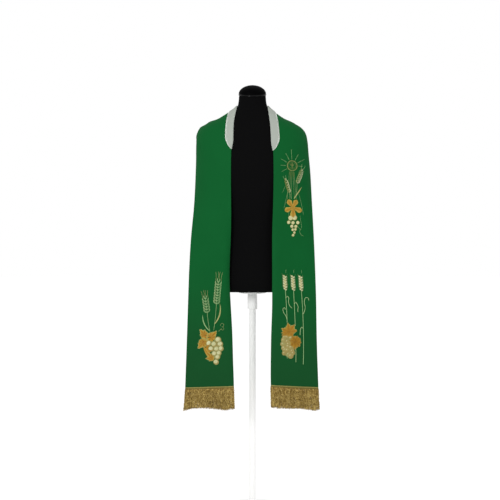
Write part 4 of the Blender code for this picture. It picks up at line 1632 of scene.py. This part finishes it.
def vine_leaf(centre, tips, point=30.0, tone=0.55, contrast=0.2, pad=0.0006):
    """Long and short stitches from each lobe's vein to the leaf's edge, and a pale cord round it.

    tips has the angle and the length of each lobe, and the contrast is how much darker the part
    by the vein is. Each stitch reaches as far as a walk from the vein, leaning towards the tip,
    stays inside both the edge and the lobe's own sector. The cord is returned by itself, because
    it is sewn in another thread.
    """
    centre = np.array(centre)
    angles, lengths = np.array(tips, float).T
    edge = pointed_edge(angles, lengths, point)
    rows = []
    far = np.linspace(0, lengths.max(), 90)
    for angle, length in tips:
        others = (angles - angle + 180) % 360 - 180
        for turn in (-1, 1):
            beside = others[others * turn > 1]
            room = np.abs(beside).min() / 2 if len(beside) else 180.0
            place = toward(angle, np.arange(0.03 * length, length, THREADS_APART * 1.1))
            step = toward(angle + turn * 44, far)
            walked = place[:, None] + step[None]
            around = np.degrees(np.arctan2(walked[..., 1], walked[..., 0]))
            apart = ((around - angle + 180) % 360 - 180) * turn
            inside = (np.linalg.norm(walked, axis=-1) < edge(around)) & (apart < room)
            reach = far[np.argmin(inside, axis=1)]
            place, reach = place[reach > 0.0008], reach[reach > 0.0008]
            way = toward(angle + turn * 44, reach)
            jitter = random.uniform(-0.12, 0.12, (len(reach), 1))
            root = centre + place
            rows.append(stitches(root, root + way * (0.42 + jitter), tone - contrast, pad))
            rows.append(
                stitches(root + way * (0.32 + jitter), root + way, tone + contrast * 0.6, pad)
            )
        vein = [centre, centre + toward(angle, length * 0.85)]
        rows.append(cord(vein, max(tone - contrast * 1.7, 0.0), 0.00045))
    around = np.arange(0.0, 361.0, 4.25)
    return rows, [cord(centre + toward(around, edge(around)), 0.60, 0.00046)]


def blade_shape(half_wide, start, span, least=0.0):
    """Half width along a blade: a power of the sine of part of a half turn."""
    return lambda t: half_wide * np.sin(math.pi * (start + span * t)) ** 0.7 + least


def blade(points, half_wide, tone):
    """A long narrow leaf: a satin column that comes to a point at its tip."""
    return satin(points, blade_shape(half_wide, 0.12, 0.88, 0.0002), tone, 0.5)


# %% grapes and the sun
def berry(centre, radius, angle, tone, ground, rim, lit, pad):
    """A disc of satin stitches a little off the middle of a darker disc, and a thin cord round it.

    The bright disc sits up and to the left, so the darker disc shows as a crescent at the lower
    right: painted shade. ground is the darker disc's tone and how far it spills out, and rim is the
    cord's tone and radius. lit is the bright disc's share of the radius.
    """
    made = []
    # the bright disc sits up and left of the darker one, which leaves painted shade at the lower right
    for middle, reach, shade, turn, height in (
        (centre, radius + ground[1], ground[0], 90.0, 0.0),
        (centre + radius * (1 - lit) * 0.6 * np.array([-1.0, 1.0]), radius * lit, tone, angle, pad),
    ):
        half = toward(turn, reach)
        made.append(satin([middle - half, middle + half], disc_shape(reach), shade, 0.0, height))
    made.append(cord(centre + toward(np.linspace(-90, 270, 17), radius - rim[1]), *rim))
    return made


def grape_bunch(top, levels, tone, ground, rim, lit=0.92, pad=0.0010, sway=0.16, shine=None):
    """Rows of berries that hang down from the top, each a little out of its place.

    levels has each row's drop below the last, count, radius, shift to the side and spacing, and
    shine is the tone of a few lighter stitches up on the left of each berry, a painted highlight.
    """
    rows = []
    place = np.array(top, float)
    for level, (drop, count, radius, shift, apart) in enumerate(levels):
        place = place - np.array([0.0, drop])
        for k in range(count):
            aside = (k - (count - 1) / 2) * apart + shift
            here = place + [aside, 0.0] + toward(math.degrees(2.3 * k + 1.7 * level), radius * sway)
            turn = 35 + 25 * math.sin(1.7 * k + 2.1 * level)
            shade = tone + 0.03 * math.sin(3.1 * k + level)
            rows += berry(here, radius, turn, shade, ground, rim, lit, pad)
            # a few lighter stitches up on the left of the berry: a painted highlight
            if shine is not None:
                glint = here + radius * np.array([[-0.50, 0.05], [0.00, 0.50]])
                rows.append(satin(glint, drop_shape(radius * 0.22), shine, 0.0, pad + 0.0003))
    return rows


def sun(centre, radius, tone):
    """A corded ring with a plain cross in it and rays all round but below."""
    centre = np.array(centre)
    rings = ((1.04, 41, tone, 0.0007), (0.95, 41, tone, 0.0007), (0.70, 33, tone - 0.08, 0.0004))
    rows = [
        cord(centre + toward(np.linspace(-90, 270, count), radius * share), shade, thick)
        for share, count, shade, thick in rings
    ]
    reaches = {93: 3.35, 62: 2.75, 118: 2.80, 30: 3.00, 150: 2.62, 0: 2.20, 180: 2.40, 211: 2.52}
    rays = (centre + toward(way, radius * np.array([1.25, reach])) for way, reach in reaches.items())
    rows += cords(rays, 0.59, 0.00048)
    for way, reach, lift in ((90, 0.56, 0.0), (0, 0.36, 0.14)):
        middle, half = centre + [0.0, radius * lift], toward(way, radius * reach)
        rows.append(satin([middle - half, middle + half], even_shape(0.0009), tone + 0.04, 0.0, 0.0006))
    spokes = (centre + toward(way, radius * np.array([0.30, 0.58])) for way in (45, 135, 225, 315))
    return rows + cords(spokes, tone, 0.0004)


def tendril(start, end, loop, turns, tone, radius):
    """A curly shoot: a straight line plus a circle that is gone round a few times on the way."""
    start, end = np.array(start), np.array(end)
    t = np.linspace(0, 1, int(16 * turns) + 1)
    swell = loop * (0.75 + 0.5 * np.sin(math.pi * t))
    lean = math.degrees(math.atan2(*(end - start)[::-1]))
    round_ = toward(lean - 90 + t * turns * 360, swell)
    return cord(start + (end - start) * t[:, None] + round_ - round_[0], tone, radius)


# %% [markdown]
# Where each motif goes, in metres from the centre and above the floor. On the left half a sun
# stands over two ears, a leaf and a hanging bunch, and lower down three ears stand on long stems
# over a cluster with its leaves. On the right half two ears rise from a larger bunch.

# %% left half, upper motif
STRAWS_UNDER_EARS = (
    ((0.1290, 1.1985), (0.1225, 1.1690), (0.1140, 1.1320)),
    ((0.1180, 1.2110), (0.1140, 1.2000), (0.1080, 1.1880)),
    ((0.1690, 1.1830), (0.1780, 1.1500), (0.1855, 1.1080)),
    ((0.1730, 1.1050), (0.1765, 1.0830), (0.1790, 1.0580)),
    ((0.1330, 1.1280), (0.1310, 1.1120), (0.1325, 1.0960)),
)


def ovate_leaf(centre, tips, tone, pad=0.0011, wide=0.30):
    """Kite-shaped lobes that join in the middle, each with two halves and a vein."""
    centre = np.array(centre)
    heart = [centre - [0.0, 0.0090], centre + [0.0, 0.0090]]
    rows = [satin(heart, disc_shape(0.0090), tone, 0.3, pad * 0.5)]
    for angle, length in tips:
        vein = np.arange(0.04 * length, length, THREADS_APART * 1.05)
        share = vein / length
        half_wide = length * wide * np.minimum((share / 0.52) ** 0.55, ((1 - share) / 0.48) ** 0.80)
        half_wide = half_wide * (1 + 0.12 * (np.abs(share * 5 % 1 * 2 - 1) - 0.5)) + 0.0003
        place = centre + toward(angle, vein)
        for turn in (-1, 1):
            way = toward(angle + turn * 52, half_wide / math.sin(math.radians(52)))
            mix = random.uniform(-0.1, 0.1, (len(vein), 1))
            shade = tone - 0.05 * turn
            rows.append(stitches(place, place + way * (0.42 + mix), shade - 0.15, pad))
            rows.append(stitches(place + way * (0.32 + mix), place + way, shade + 0.10, pad))
        vein = [centre, centre + toward(angle, length * 0.85)]
        rows.append(cord(vein, max(tone - 0.32, 0.0), 0.00045))
    return rows


def upper_left_motif():
    cream = sun((0.1441, 1.2862), 0.0180, 0.25)
    for start, end in (
        (-0.0085, -0.0185), (-0.0045, -0.0105), (0.0, -0.0030), (0.0040, 0.0085), (0.0075, 0.0160),
    ):
        beam = np.array([[0.1427 + start, 1.2655], [0.1440 + end, 1.1640]])
        bright = [beam[0], between(beam, 0.24 - 9.0 * abs(start))]
        cream += [cord(beam, 0.54, 0.00032), cord(bright, 0.22, 0.00060)]
    cream += cords(STRAWS_UNDER_EARS, 0.56, 0.00036)
    cream += comb_ear((0.1338, 1.1890), (0.1174, 1.2405), 0.0070, 5, (0.84, 0.26), 0.0110)
    cream += comb_ear((0.1630, 1.2250), (0.1825, 1.2780), 0.0088, 6, (0.92, 0.50), 0.0170)
    cream.append(cord([(0.1340, 1.1880), (0.1375, 1.1780), (0.1405, 1.1660)], 0.58))
    cream.append(cord([(0.1622, 1.2255), (0.1610, 1.1980), (0.1560, 1.1680)], 0.56, 0.00048))
    cream.append(blade([(0.1510, 1.1670), (0.1655, 1.1880), (0.1800, 1.2095)], 0.0020, 0.47))
    lobes = ((123, 0.0335), (62, 0.0320), (202, 0.0320), (-20, 0.0355), (-89, 0.0360))
    gold = ovate_leaf((0.1465, 1.1338), lobes, 0.58)
    levels = (
        (0.0, 2, 0.0088, 0.0, 0.0172),
        (0.0166, 3, 0.0063, 0.0020, 0.0160),
        (0.0133, 2, 0.0058, 0.0045, 0.0128),
        (0.0120, 2, 0.0048, 0.0050, 0.0100),
        (0.0112, 1, 0.0045, 0.0056, 0.0),
        (0.0100, 1, 0.0047, 0.0020, 0.0),
    )
    looks = {"tone": 0.83, "ground": (0.40, 0.0004), "rim": (0.40, 0.0004), "lit": 0.93}
    cream += grape_bunch((0.1456, 1.0960), levels, **looks, pad=0.0008)
    cream.append(tendril((0.1655, 1.0650), (0.1800, 1.0270), 0.0036, 1.6, 0.56, 0.00044))
    return gold, cream


# %% left half, lower motif
FULL_EARS = (
    ((0.1182, 0.8345), (0.1153, 0.8985), ((0.1225, 0.7700), (0.1250, 0.7180))),
    ((0.1482, 0.8325), (0.1443, 0.8975), ((0.1515, 0.7700), (0.1545, 0.7050))),
    ((0.1768, 0.8315), (0.1726, 0.8960), ((0.1815, 0.7600), (0.1835, 0.5655))),
)
HOOKS = (
    (
        (0.1215, 0.8085), (0.1256, 0.8133), (0.1299, 0.8082),
        (0.1299, 0.7925), (0.1330, 0.7810), (0.1435, 0.7698),
    ),
    (
        (0.1252, 0.7250), (0.1200, 0.7420), (0.1110, 0.7570),
        (0.1103, 0.7690), (0.1150, 0.7722), (0.1180, 0.7650),
    ),
    (
        (0.1518, 0.7850), (0.1560, 0.7912), (0.1602, 0.7860),
        (0.1650, 0.7730), (0.1635, 0.7640), (0.1645, 0.7555),
    ),
    (
        (0.1832, 0.7480), (0.1905, 0.7700), (0.1876, 0.7930),
        (0.1925, 0.8075), (0.1990, 0.8070), (0.2038, 0.7965),
    ),
    ((0.1822, 0.6960), (0.1780, 0.7005), (0.1740, 0.6950), (0.1725, 0.6840), (0.1722, 0.6720)),
)


def lower_left_motif():
    gold, cream = [], []
    for base, top, stem in FULL_EARS:
        cream += full_ear(base, top, 0.0078, 6, 0.97)
        cream.append(cord([base, *stem], 0.62, 0.00100))
    cream.append(cord([(0.1560, 0.6300), (0.1568, 0.6020), (0.1566, 0.5745)], 0.58, 0.00115))
    cream.append(cord([(0.1240, 0.6050), (0.1250, 0.5960), (0.1253, 0.5890)], 0.58, 0.0010))
    cream += cords(HOOKS, 0.66, 0.00100)
    levels = (
        (0.0, 3, 0.0076, 0.0010, 0.0128),
        (0.0120, 2, 0.0088, -0.0042, 0.0150),
        (0.0110, 3, 0.0086, 0.0020, 0.0142),
        (0.0124, 3, 0.0086, 0.0022, 0.0150),
        (0.0110, 3, 0.0084, 0.0036, 0.0140),
        (0.0120, 3, 0.0080, 0.0060, 0.0138),
        (0.0060, 1, 0.0100, 0.0164, 0.0),
    )
    looks = {"tone": 0.40, "ground": (0.42, 0.0010), "rim": (0.32, 0.0006), "lit": 0.96}
    cream.append(satin([(0.1232, 0.6670), (0.1262, 0.5950)], disc_shape(0.0135), 0.42, 0.0, 0.0))
    cream += grape_bunch((0.1240, 0.6650), levels, **looks, pad=0.0009, sway=0.34, shine=0.88)
    upper_leaf = (
        (158, 0.0320), (98, 0.0330), (52, 0.0330), (8, 0.0300),
        (186, 0.0290), (206, 0.0300), (-50, 0.0240), (-120, 0.0180),
    )
    round_leaf = (
        (118, 0.0240), (70, 0.0215), (30, 0.0225), (-12, 0.0230),
        (-46, 0.0260), (-92, 0.0310), (-140, 0.0240), (170, 0.0225),
    )
    for centre, tips, point, pad in (
        ((0.1325, 0.6850), upper_leaf, 34.0, 0.0010),
        ((0.1545, 0.6495), round_leaf, 39.0, 0.0016),
    ):
        stitched, outline = vine_leaf(centre, tips, point, 0.40, 0.11, pad)
        gold += stitched
        cream += outline
    return gold, cream


# %% right half, lower motif
RIGHT_LEAVES = (
    (
        (-0.1738, 0.6725),
        ((129, 0.0280), (84, 0.0210), (42, 0.0165), (178, 0.0185), (215, 0.0150), (-62, 0.0200)),
    ),
    (
        (-0.1503, 0.6646),
        ((47, 0.0320), (92, 0.0190), (135, 0.0150), (5, 0.0165), (-50, 0.0125), (238, 0.0240)),
    ),
    (
        (-0.1792, 0.6447),
        (
            (195, 0.0205), (230, 0.0300), (110, 0.0160), (152, 0.0150),
            (20, 0.0210), (-25, 0.0160), (-70, 0.0175),
        ),
    ),
    (
        (-0.1490, 0.5905),
        (
            (122, 0.0220), (-40, 0.0150), (240, 0.0150), (190, 0.0215),
            (40, 0.0160), (82, 0.0190), (-85, 0.0120),
        ),
    ),
)


def lower_right_motif():
    cream = open_ear((-0.1298, 0.7870), (-0.1222, 0.8735), 0.0120, 8, 0.63, 0.0300)
    cream += open_ear((-0.1637, 0.7550), (-0.1716, 0.8125), 0.0118, 5, 0.61, 0.0230)
    stems = (
        ((-0.1298, 0.7870), (-0.1335, 0.7400), (-0.1400, 0.6900)),
        ((-0.1637, 0.7550), (-0.1600, 0.7200), (-0.1545, 0.6900)),
    )
    cream += cords(stems, 0.56, 0.00074)
    cream.append(blade([(-0.1368, 0.7130), (-0.1182, 0.7480), (-0.1172, 0.7860)], 0.0024, 0.48))
    cream.append(blade([(-0.1530, 0.6860), (-0.1755, 0.7150), (-0.1805, 0.7450)], 0.0018, 0.62))
    curls = (
        np.array([-0.1092, 0.7096]) + toward(np.linspace(-110, 210, 24), 0.0062),
        np.array([-0.1080, 0.6966]) + toward(np.linspace(100, -190, 24), 0.0048),
        ((-0.1128, 0.6975), (-0.1160, 0.6925), (-0.1200, 0.6895), (-0.1215, 0.6850)),
    )
    cream += cords(curls, 0.50, 0.00048)
    levels = (
        (0.0, 1, 0.0112, 0.0045, 0.0),
        (0.0150, 3, 0.0106, -0.0080, 0.0199),
        (0.0176, 3, 0.0102, -0.0009, 0.0172),
        (0.0164, 2, 0.0100, -0.0003, 0.0160),
        (0.0135, 1, 0.0100, 0.0025, 0.0),
        (0.0193, 1, 0.0100, -0.0002, 0.0),
    )
    looks = {"tone": 0.84, "ground": (0.40, 0.0004), "rim": (0.26, 0.0007), "lit": 0.75}
    cream.append(satin([(-0.1270, 0.6600), (-0.1300, 0.5850)], disc_shape(0.0170), 0.40, 0.0, 0.0))
    cream += grape_bunch((-0.1300, 0.6563), levels, **looks, shine=0.95)
    join = [(-0.1710, 0.6640), (-0.1660, 0.6490), (-0.1622, 0.6310), (-0.1515, 0.6130)]
    gold = [satin(join, even_shape(0.0088), 0.38, 0.3, 0.0004)]
    band = [(-0.1480, 0.5890), (-0.1625, 0.6075), (-0.1765, 0.6285)]
    for wide, tone, pad in ((0.0088, 0.60, 0.0005), (0.0036, 0.30, 0.0007)):
        gold.append(satin(band, blade_shape(wide, 0.30, 0.67), tone, 0.5, pad))
    for centre, tips in RIGHT_LEAVES:
        stitched, outline = vine_leaf(centre, tips, 31.0, 0.48, 0.20)
        gold += stitched
        cream += outline
    return gold, cream


# %% sew the motifs on
upper_gold, upper_cream = upper_left_motif()
lower_gold, lower_cream = lower_left_motif()
right_gold, right_cream = lower_right_motif()
sewn_on = {
    "left": ((upper_gold + lower_gold, embroidery_gold), (upper_cream + lower_cream, embroidery_cream)),
    "right": ((right_gold, embroidery_gold), (right_cream, embroidery_cream)),
}
for side, layers in sewn_on.items():
    [
        sew(halves[side], rows, finish.name.replace("_", f"_{side}_"), finish)
        for rows, finish in layers
    ]


# %% [markdown]
# A half is cut nearly straight and narrows towards the chest, so its area is less than that of
# the rectangle around it.

# %% [markdown]
# The stage is a wide pale floor under an even white sky. A soft lamp with a narrow spread stands in
# front, high on the left. A wider one on the right keeps the far side open, and a broad weak sun
# overhead lightens the floor.

# %% stage, lamps and camera
FLOOR_RINGS = (30.0, 6.0, 2.0, 0.6)


def make_floor():
    rings = turn_profile([(radius, 0.0) for radius in FLOOR_RINGS])
    points, faces, _, _ = loft(rings, None, (0.0, 0.0, 0.0))
    mesh = bpy.data.meshes.new("floor")
    mesh.from_pydata(points.tolist(), [], faces)
    finish = Finish("pale_floor", (0.93, 0.93, 0.93), 0.9, Specular_IOR_Level=0.0)
    mesh.materials.append(finish.material)
    put_in_scene("floor", mesh)


def make_lamp(name, kind, place, aim, **settings):
    lamp = bpy.data.lights.new(name, kind)
    for setting, value in settings.items():
        setattr(lamp, setting, value)
    made = put_in_scene(name, lamp, place)
    made.rotation_euler = (Vector(aim) - Vector(place)).to_track_quat("-Z", "Y").to_euler()


make_floor()
make_lamp(
    "key_lamp", "AREA", (-1.3, -3.0, 1.9), (0.0, 0.0, 1.15),
    shape="DISK", size=1.0, energy=5.6, spread=math.radians(50),
)
make_lamp("fill_lamp", "AREA", (2.4, -2.6, 1.5), (0.0, 0.0, 1.05), shape="DISK", size=1.6, energy=12.0)
make_lamp("overhead", "SUN", (0.0, 0.0, 6.0), (0.0, 0.0, 0.0), energy=0.36, angle=math.radians(60))

world = bpy.data.worlds.new("white_sky")
world.use_nodes = True
sky = world.node_tree.nodes["Background"].inputs
sky["Color"].default_value = (1.0, 1.0, 1.0, 1.0)
sky["Strength"].default_value = 1.0
bpy.context.scene.world = world
bpy.context.scene.view_settings.view_transform = "Standard"

lens = bpy.data.cameras.new("camera")
lens.sensor_width = 36.0
lens.lens = 65.4
camera = put_in_scene("camera", lens, (-0.009, -3.4, 0.98))
camera.rotation_euler = (math.pi / 2, 0.0, 0.0)
bpy.context.scene.camera = camera
